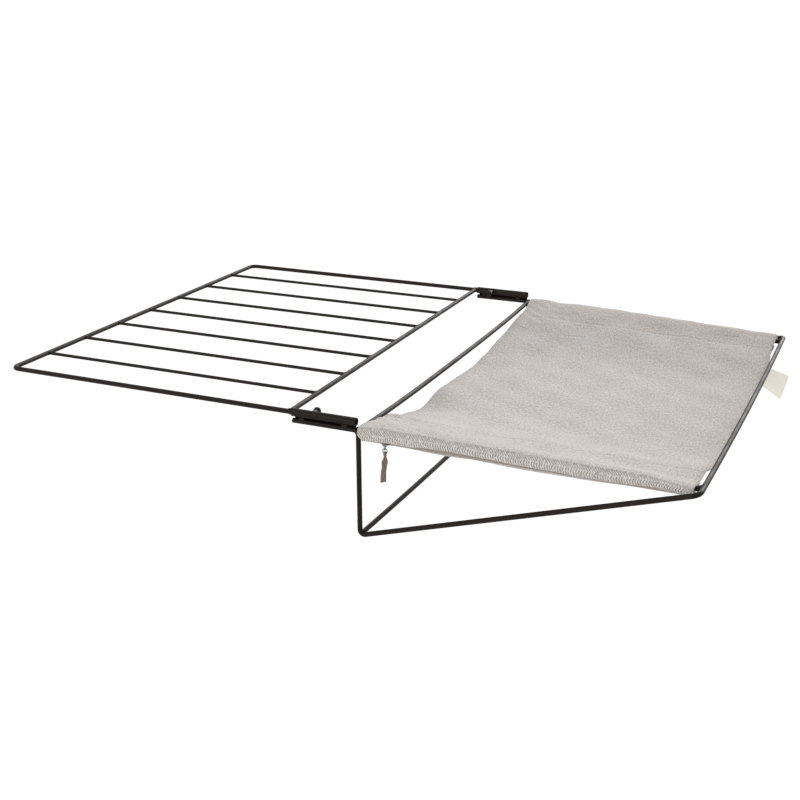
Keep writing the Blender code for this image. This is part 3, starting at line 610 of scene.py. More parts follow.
def weld_collars(places, along, across, rod_radius, throat):
    """Collars round wires that end on 5 mm wires.

    At the angle a round the ending wire, its foot is sqrt(R^2 - (r sin a)^2) from the other wire's
    axis. The collar's radius falls from r + throat to r by the square of the way that is left.
    """
    places = np.asarray(places, float)[:, None, None]
    along = np.broadcast_to(unit(along), (len(places), 3))[:, None, None]
    across = np.broadcast_to(unit(across), (len(places), 3))[:, None, None]
    third = np.cross(along, across)
    angle = turns(20)
    share = np.linspace(0, 1, 7)
    outer = rod_radius + throat * (1 - share) ** 2
    radius = np.concatenate((outer, (rod_radius * BEAD_INSIDE, rod_radius * BEAD_INSIDE)))
    reach = np.concatenate((share * throat * BEAD_REACH, (throat * BEAD_REACH, 0.0)))
    foot_offset = np.minimum(radius[:, None] * np.abs(np.sin(angle)), WIRE / 2 * 0.98)
    distance = np.sqrt((WIRE / 2) ** 2 - foot_offset ** 2) - BEAD_SINK + reach[:, None]
    grid = places + distance[..., None] * along + radius[:, None, None] * around(angle, across, third)
    return shells(grid, join_rows=True)


stop_feet = points(STOP_X, (-HALF_WIDTH, HALF_WIDTH), LADDER_Z)
inwards = ((0.0, 1.0, 0.0), (0.0, -1.0, 0.0))
rack_welds = merged(
    weld_collars(points(LADDER_LEFT, cross_y, LADDER_Z), RIGHTWARD, ALONG_RAIL, THIN_WIRE / 2, THIN_THROAT),
    weld_collars(points(STOP_X, cross_y, LADDER_Z), LEFTWARD, ALONG_RAIL, THIN_WIRE / 2, THIN_THROAT),
    weld_collars(stop_feet, inwards, RIGHTWARD, WIRE / 2, RAIL_THROAT))
make_piece("rack_welds", rack_welds, paint, "ladder_rack")

leg_feet = np.concatenate((points(LEG_X, (-HALF_WIDTH, HALF_WIDTH), ARM_Z),
                           points(bottom_x, (-HALF_WIDTH, HALF_WIDTH), bottom_z)))
sleeve_feet = [on_side(side, SLEEVE_FOOT_X, ROD_RIGHT[1], SLEEVE_FOOT_Z) for _, side in SIDES]
frame_welds = merged(weld_collars(leg_feet, inwards * 2, (1, 0, -1), WIRE / 2, RAIL_THROAT),
                     weld_collars(sleeve_feet, LEFTWARD, ALONG_RAIL, WIRE / 2, SLEEVE_THROAT))
make_piece("frame_welds", frame_welds, paint, "hammock")

# %% [markdown]
# ## The brackets
#
# Each bracket is a short tube over the lower rod. A thin web with two thick lugs of weld metal carries
# it, and a boss on its inner side takes a thumb screw that clamps the ladder wire. The tube is a turned
# ring profile, so its open end shows the bore. The web and the lugs are stacks of closed outlines. A
# lug's outline is a rounded oblong that spreads where it meets the wire below and the tube above.

# %% Tubes, webs and bosses
TUBE_LEFT = -0.0678
TUBE_RIGHT = 0.0010
TUBE_RADIUS = 0.0040
BORE_RADIUS = 0.0030
SCREW_X = -0.0470
TUBE_LENGTH = TUBE_RIGHT - TUBE_LEFT
TUBE_EDGE = 0.0003
WEB_LOW = ARM_Z + 0.0017
WEB_HIGH = LADDER_Z - 0.0034
WEB_MIDDLE = (TUBE_LEFT + TUBE_RIGHT) / 2 + 0.0012
WEB_HALF_LENGTH = TUBE_LENGTH / 2 - 0.0015
WEB_HALF_WIDTH = 0.0006
WEB_SPREAD = 0.0001
LUG_X = (TUBE_LEFT + 0.0103, TUBE_RIGHT - 0.0124)
LUG_HALF_LENGTH = 0.0030
LUG_HALF_WIDTH = 0.0020
LUG_SPREAD = 0.0007


def tube_profile():
    """Round a tube's wall: out over its rounded ends and back through the bore."""
    last = TUBE_LENGTH - TUBE_EDGE
    return [(TUBE_RADIUS - TUBE_EDGE, 0.0), (TUBE_RADIUS, TUBE_EDGE), (TUBE_RADIUS, last),
            (TUBE_RADIUS - TUBE_EDGE, TUBE_LENGTH), (BORE_RADIUS + TUBE_EDGE, TUBE_LENGTH),
            (BORE_RADIUS, last), (BORE_RADIUS, TUBE_EDGE), (BORE_RADIUS + TUBE_EDGE, 0.0)]


def upright_outlines(y, middle_x, half_length, half_width, spread_out):
    """Outlines from the lower rod to the tube: |u|^4 + |v|^4 = 1, wider with the square of the level."""
    level = np.linspace(-1, 1, 9)[:, None]
    wider = spread_out * level ** 2
    lengthwise, across = rounded(turns(40), 0.5)
    grid = points(middle_x + (half_length + wider) * lengthwise, y + (half_width + wider) * across,
                  (WEB_LOW + WEB_HIGH) / 2 + (WEB_HIGH - WEB_LOW) / 2 * level)
    return shells(grid[None])


def boss_profile():
    """A short bush with a rounded rim and a hole for the screw."""
    return [(0.0019, 0.0036), (0.0029, 0.0036), (0.0029, 0.0086), (0.0026, 0.0090), (0.0019, 0.0090),
            (0.0018, 0.0088)]


for side_name, side in SIDES:
    y = side * HALF_WIDTH
    inward = (0.0, -side, 0.0)
    tube_shape = turned(tube_profile(), (TUBE_LEFT, y, LADDER_Z), RIGHTWARD, joined=True)
    make_piece(f"{side_name}_bracket_tube", tube_shape, paint, "hammock", [f"{side_name}_tube"])
    web = upright_outlines(y, WEB_MIDDLE, WEB_HALF_LENGTH, WEB_HALF_WIDTH, WEB_SPREAD)
    make_piece(f"{side_name}_thin_web", web, shaded_web_paint, "hammock", [f"{side_name}_bracket_web"])
    lugs = merged(*(upright_outlines(y, x, LUG_HALF_LENGTH, LUG_HALF_WIDTH, LUG_SPREAD) for x in LUG_X))
    make_piece(f"{side_name}_weld_lugs", lugs, paint, "hammock", sharp=60)
    make_piece(f"{side_name}_boss", turned(boss_profile(), (SCREW_X, y, LADDER_Z), inward, joined=True),
               paint, "hammock", [f"{side_name}_screw_boss"])

# %% [markdown]
# ## The thumb screws
#
# A thumb screw is turned: shank, neck and a round knob. Its grip comes from ten shallow flutes. They
# are a change of the knob's radius with the angle, so the same turned surface makes them, and they
# fade out where the rim rounds off.

# %% Thumb screws
FLUTE_COUNT = 10
FLUTE_DEPTH = 0.0005
FLUTE_START = 0.0030
FLUTE_FADE = 0.0008


def screw_profile():
    """From the tip along the shank to the knob, with rounded rims and a dished face."""
    return [(0.0002, 0.0028), (0.0012, 0.0028), (0.0015, 0.0032), (0.0015, 0.0100), (0.0024, 0.0102),
            (0.0034, 0.0103), (0.0039, 0.0107), (0.0040, 0.0113), (0.0040, 0.0126), (0.0039, 0.0132),
            (0.0034, 0.0136), (0.0026, 0.0137), (0.0020, 0.0134), (0.0010, 0.0132), (0.0001, 0.0131)]


def knob_flutes(radius, angle):
    """Depth of the flutes: a wave round the knob that fades in from 3.0 to 3.8 mm off the axis."""
    near_rim = np.clip((radius - FLUTE_START) / FLUTE_FADE, 0, 1)
    return near_rim * FLUTE_DEPTH / 2 * (1 - np.cos(FLUTE_COUNT * angle))


for side_name, side in SIDES:
    screw_shape = turned(screw_profile(), (SCREW_X, side * HALF_WIDTH, LADDER_Z), (0.0, -side, 0.0),
                         sides=80, wobble=knob_flutes)
    make_piece(f"{side_name}_knob_screw", screw_shape, paint, f"{side_name}_screw",
               [f"{side_name}_thumb_screw"])

# %% [markdown]
# ## Herringbone tweed
#
# The cloth is a thick woven tweed in light grey-beige. Its ribs lean one way in one strip and the other
# way in the next, which makes the arrow pattern that shows on the sleeve's face. The pattern is a wave
# along the cloth whose phase is shifted by a zigzag across it. It reads the cloth's own UV map, laid
# out in metres, so the ribs turn over the rod with the cloth.
# On the sleeves' faces the yarn is painted lighter, as if lit, and the furrows show as dark strokes of
# painted shade.

# %% Tweed finish
RIB_PITCH = 0.0024
STRIP_WIDTH = 0.0066
RIB_LEAN = 0.0056
LIGHT_YARN = np.array((0.703, 0.667, 0.638, 1.0))
DARK_YARN = np.array((0.304, 0.282, 0.263, 1.0))
# Painted shade: the dark colour of the furrow strokes, full on the sleeves' faces and faint elsewhere.
STROKE = (0.26, 0.235, 0.215, 1.0)
# Painted shade: the darker, warmer tint of the shaded bands of cloth.
SHADE_TINT = (0.86, 0.795, 0.765, 1.0)
WARM_TINT = (1.01, 0.985, 0.965, 1.0)
# Painted light: how much lighter the yarn is on the sleeves' faces.
FACE_LIGHT_TINT = (1.21, 1.21, 1.20, 1.0)


def tweed_finish(name):
    """Ribs by a phase along / pitch + lean zigzag(across), with heathered yarn and a woolly surface.

    Two attributes of the cloth change it, both painted light: on the sleeves' faces the yarn is lighter, as
    if lit, and the furrows show as dark strokes of painted shade; elsewhere painted shade makes the colour
    darker and warmer.
    """
    material, shader, start = new_finish(name, roughness=0.95, sheen_weight=0.15, sheen_roughness=0.6)
    face_light_and_shade = start.node("ShaderNodeAttribute", {"attribute_name": "face_light_and_shade"}, output="Fac")
    painted_shade_tone = start.node("ShaderNodeAttribute", {"attribute_name": "painted_shade_tone"}, output="Fac")
    laid, along, across = start.laid()
    drift = laid.noise(170.0, 2.0) * 0.7
    strip = across / (2 * STRIP_WIDTH)
    rib = (along / RIB_PITCH + strip.zigzag() * (RIB_LEAN / RIB_PITCH) + drift).wave()
    yarn = laid.noise(1500.0, 3.0, 0.6)
    stretched = laid.node("ShaderNodeVectorMath", {"operation": "MULTIPLY"}, {0: laid, 1: (1.0, 0.42, 1.0)})
    speckle = stretched.noise(560.0, 3.0, 0.75)
    slow = laid.noise(28.0, 2.0)
    ridge = (1 - (strip * 2).zigzag()).step(0.0, 0.22)
    furrow = (1 - rib.step(0.08, 0.45)) * ridge * laid.noise(420.0, 2.0).step(0.30, 0.50)
    height = (0.25 + 0.75 * rib) * (0.6 + 0.4 * ridge) * 0.7 + yarn * 0.3
    shade = 0.60 + (speckle - 0.5) * 3.6 + (yarn - 0.5) * 0.8 + (slow - 0.5) * 0.4 + (rib - 0.5) * 0.15
    shade = shade.step(-0.45, 1.45)
    warmth = laid.noise(34.0, 2.0, 0.6).step(0.38, 0.62)
    plain = shade.blend(DARK_YARN, warmth.blend(LIGHT_YARN, LIGHT_YARN * WARM_TINT))
    # Painted shade: a darker, warmer copy of the yarn.
    shaded_yarn = shade.blend(DARK_YARN * SHADE_TINT, LIGHT_YARN * SHADE_TINT)
    # Painted light: a lighter copy of the yarn for the sleeves' faces.
    face = shade.blend(DARK_YARN * FACE_LIGHT_TINT, LIGHT_YARN * FACE_LIGHT_TINT)
    toned = face_light_and_shade.blend((painted_shade_tone * 0.5).blend(plain, shaded_yarn), face)
    # The furrow strokes: painted shade on the sleeves' faces, faint as the weave's own pattern elsewhere.
    feed(shader, "Base Color", (furrow * (0.08 + 0.92 * face_light_and_shade)).blend(toned, STROKE))
    feed_bump(shader, height, 0.0006, 0.7)
    return material


tweed = tweed_finish("herringbone_tweed")
print("tweed:", tweed.name)

# %% [markdown]
# ## The shape of the hanging cloth
#
# The cloth is one panel, cut a little longer than the gap between the side rods, so it sags. Its two
# ends wrap over the rods and close below as sleeves. Simulation could hang it, but the photographed sag
# is known from side to side, so a smooth curve through that drop is closer and always the same. Each
# cross section runs up the sleeve's face, over the rod, down to the seam and on to the middle.

# %% Sections of the cloth
CLOTH_LEFT = 0.0055
CLOTH_LENGTH = 0.3100
CLOTH_RIGHT = CLOTH_LEFT + CLOTH_LENGTH
CLOTH_THICKNESS = 0.0012
CHAMFER = 0.0055
# Pairs of a value at the cloth's left end and one at its right end.
CORNER_INWARD = (-0.0040, 0.0086)
CORNER_DROP = (0.0096, 0.0170)
MIDDLE_DROP = (0.0233, 0.0310)
SEAM_INWARD = {-1: (0.0500, 0.0650), 1: (0.0520, 0.0490)}
# Height of the sleeve's top over the rod's axis, flat and puffed out.
SLEEVE_LIFT = (0.0041, 0.0068)
PUFF_LENGTH = 0.0300
SHOULDER_RADIUS = 0.0030
FLAP_LENGTH = 0.0056
FLAP_BELLY = 0.0009
FACE_BELLY = 0.0008
ZIP_GAP = 0.0003
LEFT_DROP_SHARES = ((0.0, 0.0), (0.04, 0.012), (0.10, 0.107), (0.16, 0.225), (0.225, 0.36),
                    (0.315, 0.585), (0.39, 0.735), (0.46, 0.845), (0.53, 0.93), (0.64, 0.985),
                    (0.80, 1.0), (1.0, 1.0))
RIGHT_DROP_SHARES = ((0.0, 0.0), (0.05, 0.16), (0.11, 0.34), (0.18, 0.42), (0.26, 0.47),
                     (0.36, 0.70), (0.52, 0.91), (0.75, 0.99), (1.0, 1.0))
# On the rear half the right end falls more evenly.
REAR_RIGHT_SHARES = ((0.0, 0.0), (0.05, 0.13), (0.11, 0.27), (0.18, 0.39), (0.26, 0.53),
                     (0.36, 0.70), (0.52, 0.91), (0.75, 0.99), (1.0, 1.0))
# The cut left edge isn't even: how far down it really hangs on the front and on the rear half.
FRONT_EDGE_SHARES = ((0.0, 0.0), (0.04, 0.012), (0.10, 0.107), (0.142, 0.150), (0.187, 0.270),
                     (0.2235, 0.263), (0.2644, 0.409), (0.305, 0.602), (0.346, 0.690), (0.387, 0.755),
                     (0.428, 0.832), (0.469, 0.927), (0.514, 1.015), (0.567, 1.066), (0.620, 1.036),
                     (0.677, 0.949), (0.759, 0.869), (0.857, 0.920), (1.0, 0.971))
REAR_EDGE_SHARES = ((0.0, 0.0), (0.06, 0.109), (0.113, 0.234), (0.191, 0.343), (0.264, 0.482),
                    (0.322, 0.606), (0.403, 0.700), (0.489, 0.770), (0.559, 0.858), (0.632, 0.942),
                    (0.722, 0.982), (0.792, 1.051), (0.894, 1.036), (1.0, 0.971))
EDGE_FADE = (0.0100, 0.0600)
# How far the sleeve's face hangs down over the zip, from left to right.
FLAP_SHARES = ((0.0, 0.80), (0.035, 0.62), (0.06, 0.50), (0.12, 0.46), (0.17, 0.42), (0.197, 0.22),
               (0.25, 0.14), (0.32, 0.15), (0.37, 0.22), (0.445, 0.36), (0.536, 0.45), (0.625, 0.50),
               (0.741, 0.64), (0.80, 0.50), (0.854, 0.37), (0.932, 0.14), (0.966, 0.16), (1.0, 0.50))
# How far the strip under the rod bags down behind the zip.
STRIP_BAG = 0.0031
STRIP_BAG_SHARES = ((0.0, 0.0), (0.14, 0.0), (0.17, 0.30), (0.235, 0.78), (0.30, 0.75), (0.355, 0.38),
                    (0.445, 0.86), (0.536, 1.0), (0.625, 0.86), (0.741, 0.66), (0.83, 0.0), (1.0, 0.0))


def mix(left, right, share):
    """A value between its left and right ones."""
    return left + (right - left) * share


def smooth_step(value, low, high):
    """0 up to low, 1 from high, and 3 t^2 - 2 t^3 between."""
    t = np.clip((value - low) / (high - low), 0, 1)
    return t * t * (3 - 2 * t)


def fade(value, low, high):
    """1 up to low and 0 from high: one minus a smooth step."""
    return 1 - smooth_step(value, low, high)


def hump(value, centre, width):
    """A bell: exp(-(distance / width)^2)."""
    return np.exp(-((value - centre) / width) ** 2)


def smooth_table(table, share):
    """The cubic through a table's points whose slope at each is that of its two neighbours."""
    table = np.asarray(table)
    padded = np.concatenate((table[:1], table, table[-1:]))
    cell = np.clip(np.searchsorted(table[:, 0], share, side="right") - 1, 0, len(table) - 2)
    before, start, end, after = (padded[cell + offset] for offset in range(4))
    span = end[..., 0] - start[..., 0]
    t = np.clip((share - start[..., 0]) / span, 0, 1)
    slope_start = (end[..., 1] - before[..., 1]) / (end[..., 0] - before[..., 0]) * span
    slope_end = (after[..., 1] - start[..., 1]) / (after[..., 0] - start[..., 0]) * span
    return (start[..., 1] * (2 * t ** 3 - 3 * t ** 2 + 1) + slope_start * (t ** 3 - 2 * t ** 2 + t)
            + end[..., 1] * (3 * t ** 2 - 2 * t ** 3) + slope_end * (t ** 3 - t ** 2))


def along_share(x):
    """0 at the cloth's left end and 1 at its right end."""
    return (x - CLOTH_LEFT) / CLOTH_LENGTH


def at(x, ends):
    """A value at x that changes evenly between the cloth's two ends."""
    return mix(*ends, along_share(x))


def rod_line(x):
    """Inward place and height of the side rod's axis at x."""
    share = (x - ROD_LEFT[0]) / (ROD_RIGHT[0] - ROD_LEFT[0])
    return mix(ROD_LEFT[1], ROD_RIGHT[1], share), mix(ROD_LEFT[2], ROD_RIGHT[2], share)


def sleeve_corner(x):
    """Inward place and height of the sleeve's lower outer corner."""
    return at(x, CORNER_INWARD), ARM_Z - at(x, CORNER_DROP)


def sleeve_top(x):
    """Height of the sleeve's top: flat on the rod at its left end, puffed out by a sine over 30 mm."""
    puff = np.clip((x - CLOTH_LEFT) / PUFF_LENGTH, 0, 1)
    return rod_line(x)[1] + mix(*SLEEVE_LIFT, np.sin(puff * math.pi / 2))


def panel_height(x, inward, edge_shares=None, right_shares=RIGHT_DROP_SHARES):
    """Height of the cloth's upper side, from the rod to the middle of the bed.

    It falls from the sleeve's top to the middle's height by a share. The share is the left table's
    cubic at the left end, the right table's at the right end, and changes evenly between them.
    """
    rod_inward = rod_line(x)[0]
    share = (inward - rod_inward) / (HALF_WIDTH - rod_inward)
    drop = mix(smooth_table(LEFT_DROP_SHARES, share), smooth_table(right_shares, share), along_share(x))
    if edge_shares is not None:
        uneven = smooth_table(edge_shares, share) - smooth_table(LEFT_DROP_SHARES, share)
        drop = drop + uneven * fade(x, *EDGE_FADE)
    return mix(sleeve_top(x), ARM_Z - at(x, MIDDLE_DROP), drop)


print("sleeve top at the left end:", round(float(sleeve_top(CLOTH_LEFT)), 4))

# %% [markdown]
# ## The cloth as one fine surface
#
# The rows follow the section and the columns run along the bed. More rows lie at the seams and more
# columns at the hems, because that is where the surface changes quickly.

# %% Rows and columns of the cloth
HEM_X = 0.2925
LEFT_HEM_X = 0.0240


def spread(stops, counts):
    """Points between stops, with a given count in each stretch."""
    stretches = [np.linspace(low, high, count, endpoint=False)
                 for low, high, count in zip(stops[:-1], stops[1:], counts)]
    return np.concatenate([*stretches, [stops[-1]]])


column_x = spread((CLOTH_LEFT, CLOTH_LEFT + 0.007, LEFT_HEM_X - 0.002, LEFT_HEM_X + 0.002, HEM_X - 0.004,
                   HEM_X + 0.004, CLOTH_RIGHT - 0.006, CLOTH_RIGHT), (8, 5, 6, 72, 13, 7, 8))
face_share = np.linspace(0, 1, 13, endpoint=False)
shoulder_share = np.linspace(0, 1, 9, endpoint=False)
crown_share = np.linspace(0, 1, 4, endpoint=False)
panel_share = spread((0.0, 1.0, 2.0, 3.0), (13, 15, 66))
FACE_ROWS = len(face_share)


def half_section(side, x):
    """Inward place and height of each row, from the sleeve's lower edge to the middle of the bed.

    The face is upright with a sine belly, the shoulder is a quarter circle, the crown is level and the
    panel follows panel_height.
    """
    face, bottom = sleeve_corner(x)
    top = sleeve_top(x)
    rod_inward = rod_line(x)[0]
    radius = SHOULDER_RADIUS
    cover = smooth_table(FLAP_SHARES, along_share(x))
    low = bottom + CHAMFER + ZIP_GAP - cover * FLAP_LENGTH
    shoulder = top - radius
    t = face_share[:, None]
    belly = FACE_BELLY * np.sin(math.pi * t) + FLAP_BELLY * cover * (1 - t) ** 2
    face_rows = face - belly, mix(low, shoulder, t)
    angle = shoulder_share[:, None] * math.pi / 2
    shoulder_rows = face + radius * (1 - np.cos(angle)), shoulder + radius * np.sin(angle)
    s = crown_share[:, None]
    crown_rows = mix(face + radius, rod_inward, s), top + 0 * s
    seam = at(x, SEAM_INWARD[side])
    stops = (rod_inward, seam - 0.004, seam + 0.004, HALF_WIDTH + 0 * x)
    p = panel_share[:, None]
    inward = sum(mix(stops[k], stops[k + 1], np.clip(p - k, 0, 1)) * ((p >= k) & (p < k + 1))
                 for k in range(3))
    inward = np.where(p >= 3, HALF_WIDTH, inward)
    tables = (FRONT_EDGE_SHARES, RIGHT_DROP_SHARES) if side < 0 else (REAR_EDGE_SHARES, REAR_RIGHT_SHARES)
    panel_rows = inward, panel_height(x, inward, *tables)
    pairs = (face_rows, shoulder_rows, crown_rows, panel_rows)
    return tuple(np.concatenate([np.broadcast_to(pair[k], (len(pair[1]), len(x))) for pair in pairs])
                 for k in range(2))


def edge_places(side, inward, rows):
    """X of the left and right edges on each row: a lap over the leg, and a right edge with small steps."""
    up_face = np.clip(rows / FACE_ROWS, 0, 1)
    lap = smooth_step(up_face, 0.25, 0.75) * fade(inward, 0.012, 0.030)
    left = CLOTH_LEFT - 0.0020 * lap + 0.0030 * fade(up_face, 0.0, 0.45)
    if side > 0:
        left = left + 0.0030 * fade(inward, 0.030, 0.085)
    bow = rail_x(HALF_WIDTH - inward) - RAIL_X
    if side < 0:
        step_out = 0.0024 * fade(inward, 0.012, 0.030) - 0.0020 * fade(inward, 0.066, 0.078)
    else:
        step_out = 0.0010 - 0.0022 * hump(inward, 0.042, 0.022) - 0.0010 * smooth_step(inward, 0.15, 0.22)
    return left, CLOTH_RIGHT + bow * (1 - 0.8 * smooth_step(inward, 0.08, 0.20)) + step_out


def cloth_half(side):
    """Corners of one half of the cloth, with the inward distance of each.

    The columns bend to the cut edges only near the two ends and are straight between them.
    """
    inward, z = half_section(side, column_x)
    rows = np.arange(len(inward))
    left, right = edge_places(side, inward.mean(1), rows)
    share = along_share(column_x)[None]
    x = mix(left[:, None], right[:, None], share)
    x = mix(x, column_x[None], smooth_step(share, 0.06, 0.12) * fade(share, 0.80, 0.88))
    return on_side(side, x, inward, z), inward


front_half, front_inward = cloth_half(-1)
rear_half, rear_inward = cloth_half(1)
cloth_base = np.concatenate((front_half, rear_half[-2::-1]))
cloth_inward = np.concatenate((front_inward, rear_inward[-2::-1]))
rows_total, columns_total = cloth_base.shape[:2]
print("cloth grid:", rows_total, "rows by", columns_total, "columns")

# %% [markdown]
# ## Small shapes on the large one
#
# Each small shape is a height that is added square to the surface: the sewn groove of the sleeve's seam
# with its puckers, the raised double hem and a few slow waves. The cut edges then roll down. Two masks
# of painted light and shade for the yarn are worked out on the same grid, and the tweed reads them.

# %% Seams, hems and waves of the cloth
PUCKER_PITCH = 0.0087
REAR_DIP = 0.0022
ROLLED_COLUMNS = 8
LEFT_ROLL = 0.0004
RIGHT_ROLL = 0.0026
SINK_DEPTH = 0.0029
SINK_LEAN = 0.0014
SINK_FROM = 0.270
SINK_TO = 0.312


def surface_directions(grid):
    """Unit directions square to a grid: (change along the columns) x (change along the rows)."""
    return unit(np.cross(np.gradient(grid, axis=1), np.gradient(grid, axis=0)))


def cloth_relief(grid, inward):
    """Heights added to the cloth, in metres: bells at the seams, steps for the hems, cosines for waves."""
    x = grid[..., 0]
    y = grid[..., 1]
    front = y < 0
    on_panel = smooth_step(inward, 0.020, 0.034)
    from_seam = inward - np.where(front, at(x, SEAM_INWARD[-1]), at(x, SEAM_INWARD[1]))
    pucker = 0.65 + 0.35 * np.cos(x * math.tau / PUCKER_PITCH + 3 * np.sin(x * 41))
    groove = -0.0003 * hump(from_seam, 0, 0.0020) * pucker
    ridges = 0.0003 * (hump(from_seam, -0.0045, 0.0032) + hump(from_seam, 0.0045, 0.0034)) * pucker
    hem_groove = -0.0005 * hump(x, HEM_X, 0.0020)
    hem = 0.0006 * smooth_step(x, HEM_X, HEM_X + 0.007)
    left_groove = -0.0003 * hump(x, LEFT_HEM_X, 0.0014)
    left_hem = 0.0003 * fade(x, LEFT_HEM_X - 0.004, LEFT_HEM_X)
    waves = smooth_step(x, 0.012, 0.050) * (0.0006 * np.cos(x * 58 + y * 21 + 0.6) * np.cos(y * 33 - x * 9)
                                            + 0.0004 * np.cos(x * 92 - y * 47 + 2.1)
                                            + 0.0003 * np.cos(y * 118 + x * 61))
    sleeve_waves = (1 - on_panel) * (0.0003 * np.cos(x * 170 + 2 * np.sin(x * 37))
                                     - np.where(front, 0.0, REAR_DIP) * hump(x, 0.047, 0.025))
    end_wrinkles = (0.0005 * hump(x, 0.030, 0.022) * smooth_step(inward, 0.004, 0.012)
                    * fade(inward, 0.050, 0.075) * np.cos(x * 300 + y * 420))
    hems = hem_groove + hem + left_groove + left_hem
    return on_panel * (waves + hems) + groove + ridges + sleeve_waves + end_wrinkles


def rolled_edges(grid, inward):
    """The cut edges roll down by the square of the way into the last eight columns.

    The front sleeve also sinks, and leans out a little, over its last 45 mm on the right.
    """
    share_left = np.clip(1 - np.arange(columns_total) / ROLLED_COLUMNS, 0, 1)[None]
    share_right = share_left[:, ::-1]
    on_panel = smooth_step(inward, 0.010, 0.030)
    sinking = smooth_step(grid[..., 0], SINK_FROM, SINK_TO) * fade(inward, 0.024, 0.064)
    sinking = (grid[..., 1] < 0) * sinking
    rolled = LEFT_ROLL * share_left ** 2 + RIGHT_ROLL * share_right ** 2
    down = on_panel * rolled + SINK_DEPTH * sinking
    outward = SINK_LEAN * sinking * fade(inward, 0.010, 0.016)
    return grid - np.stack((0 * down, outward, down), -1)


relief = cloth_relief(cloth_base, cloth_inward)
cloth_grid = rolled_edges(cloth_base + relief[..., None] * surface_directions(cloth_base), cloth_inward)
print("relief from", round(float(relief.min()) * 1000, 2), "to", round(float(relief.max()) * 1000, 2), "mm")

# Painted light and shade on the sleeves' faces, fading over the shoulders; at the rear by half.
# Painted shade, darker and warmer yarn: the doubled rear band, the right hem and the panel's right side.
row_number = np.arange(rows_total)
from_end = np.minimum(row_number, rows_total - 1 - row_number)[:, None]
face_light_and_shade = fade(from_end, FACE_ROWS - 1, FACE_ROWS + 9)
face_light_and_shade = face_light_and_shade * np.where(row_number < rows_total / 2, 1.0, 0.5)[:, None]
grid_x, grid_y = cloth_grid[..., 0], cloth_grid[..., 1]
rear_band = np.where(grid_y > 0, fade(cloth_inward, 0.040, 0.058), 0.0)
hem_band = 0.45 * smooth_step(grid_x, HEM_X - 0.002, HEM_X + 0.002)
right_side = 0.45 * smooth_step(grid_x, 0.17, 0.29) * smooth_step(cloth_inward, 0.030, 0.090)
painted_shade_tone = np.clip(rear_band + np.maximum(hem_band, right_side) * (1 - face_light_and_shade), 0, 1)

# %% [markdown]
# ## The cloth as a piece
#
# The grid becomes a sheet with a UV map in metres and a thickness. The two masks of painted light and
# shade go with it as attributes. Its area is summed from the grid.

# %% The cloth's piece


def lay_out(item, grid):
    """Give a grid a UV map in metres, distance along the columns and up the rows, and sum its area."""
    across = np.linalg.norm(np.diff(grid, axis=0), axis=2)
    along = np.linalg.norm(np.diff(grid, axis=1), axis=2)
    v = np.concatenate((np.zeros((1, grid.shape[1])), np.cumsum(across, axis=0)))
    u = np.concatenate((np.zeros((grid.shape[0], 1)), np.cumsum(along, axis=1)), axis=1)
    corners = np.stack((u, v), -1).reshape(-1, 2)
    layer = item.data.uv_layers.new(name=UV_NAME)
    numbers = np.zeros(len(item.data.loops), np.int32)
    item.data.loops.foreach_get("vertex_index", numbers)
    layer.data.foreach_set("uv", corners[numbers].astype(np.float32).ravel())
    return float(np.linalg.norm(np.cross(np.diff(grid, axis=0)[:, :-1], np.diff(grid, axis=1)[:-1]),
                                axis=2).sum())


def thicken(item, thickness):
    """Give a sheet its thickness below its upper side, or above it where the thickness is negative."""
    solid = item.modifiers.new("thickness", "SOLIDIFY")
    solid.thickness = thickness
    solid.offset = -1.0
    solid.use_even_offset = True


def make_sheet(name, grid, finish, node, thickness):
    """An open grid as a sheet on the hammock, with its UV map and thickness; also gives its area."""
    shape = shells(grid[None], join_columns=False, caps=False)
    item = make_piece(name, shape, finish, "hammock", [node], sharp=180, closed=False)
    area = lay_out(item, grid)
    thicken(item, thickness)
    return item, area


cloth, cloth_area = make_sheet("tweed_hammock", cloth_grid, tweed, "hammock_cloth",
                               CLOTH_THICKNESS)
for attribute_name, amount in (("face_light_and_shade", face_light_and_shade), ("painted_shade_tone", painted_shade_tone)):
    layer = cloth.data.attributes.new(attribute_name, "FLOAT", "POINT")
    layer.data.foreach_set("value", np.broadcast_to(amount, cloth_inward.shape).astype(np.float32).ravel())

# %% [markdown]
# ## The strips under the rods
#
# Under each rod a narrow strip of the same tweed closes the sleeve, from the zip to the seam. It hangs
# a little between the two, so its section is a straight line with a shallow belly, and it bags behind
# the zip.

# %% Sleeve facings
STRIP_INWARD = 0.0470
STRIP_THICKNESS = 0.0010
STRIP_BELLY = 0.0012


def facing_grid(side):
    """Rows from the zip's inner edge to the seam: a straight line that sinks 1.2 mm in its middle.

    Behind the zip it also bags: a quick fall, 1 - exp(-t / 0.03), that fades out towards the seam.
    """
    x = np.linspace(CLOTH_LEFT + 0.0008, CLOTH_RIGHT - 0.001, 120)[None]
    t = np.linspace(0, 1, 26)[:, None] ** 1.6
    face, bottom = sleeve_corner(x)
    inward = mix(face + CHAMFER + ZIP_GAP, STRIP_INWARD, t)
    end = panel_height(x, STRIP_INWARD) - CLOTH_THICKNESS - 0.0013
    bag = STRIP_BAG * smooth_table(STRIP_BAG_SHARES, along_share(x))
    fall = (1 - np.exp(-t / 0.03)) * fade(t, 0.25, 0.90)
    z = mix(bottom, end, t) - STRIP_BELLY * np.sin(math.pi * t) - bag * fall
    return on_side(side, x, inward, z)


for side_name, side in SIDES:
    facing, area = make_sheet(f"{side_name}_sleeve_strip", facing_grid(side), tweed,
                              f"{side_name}_sleeve_facing", -side * STRIP_THICKNESS)

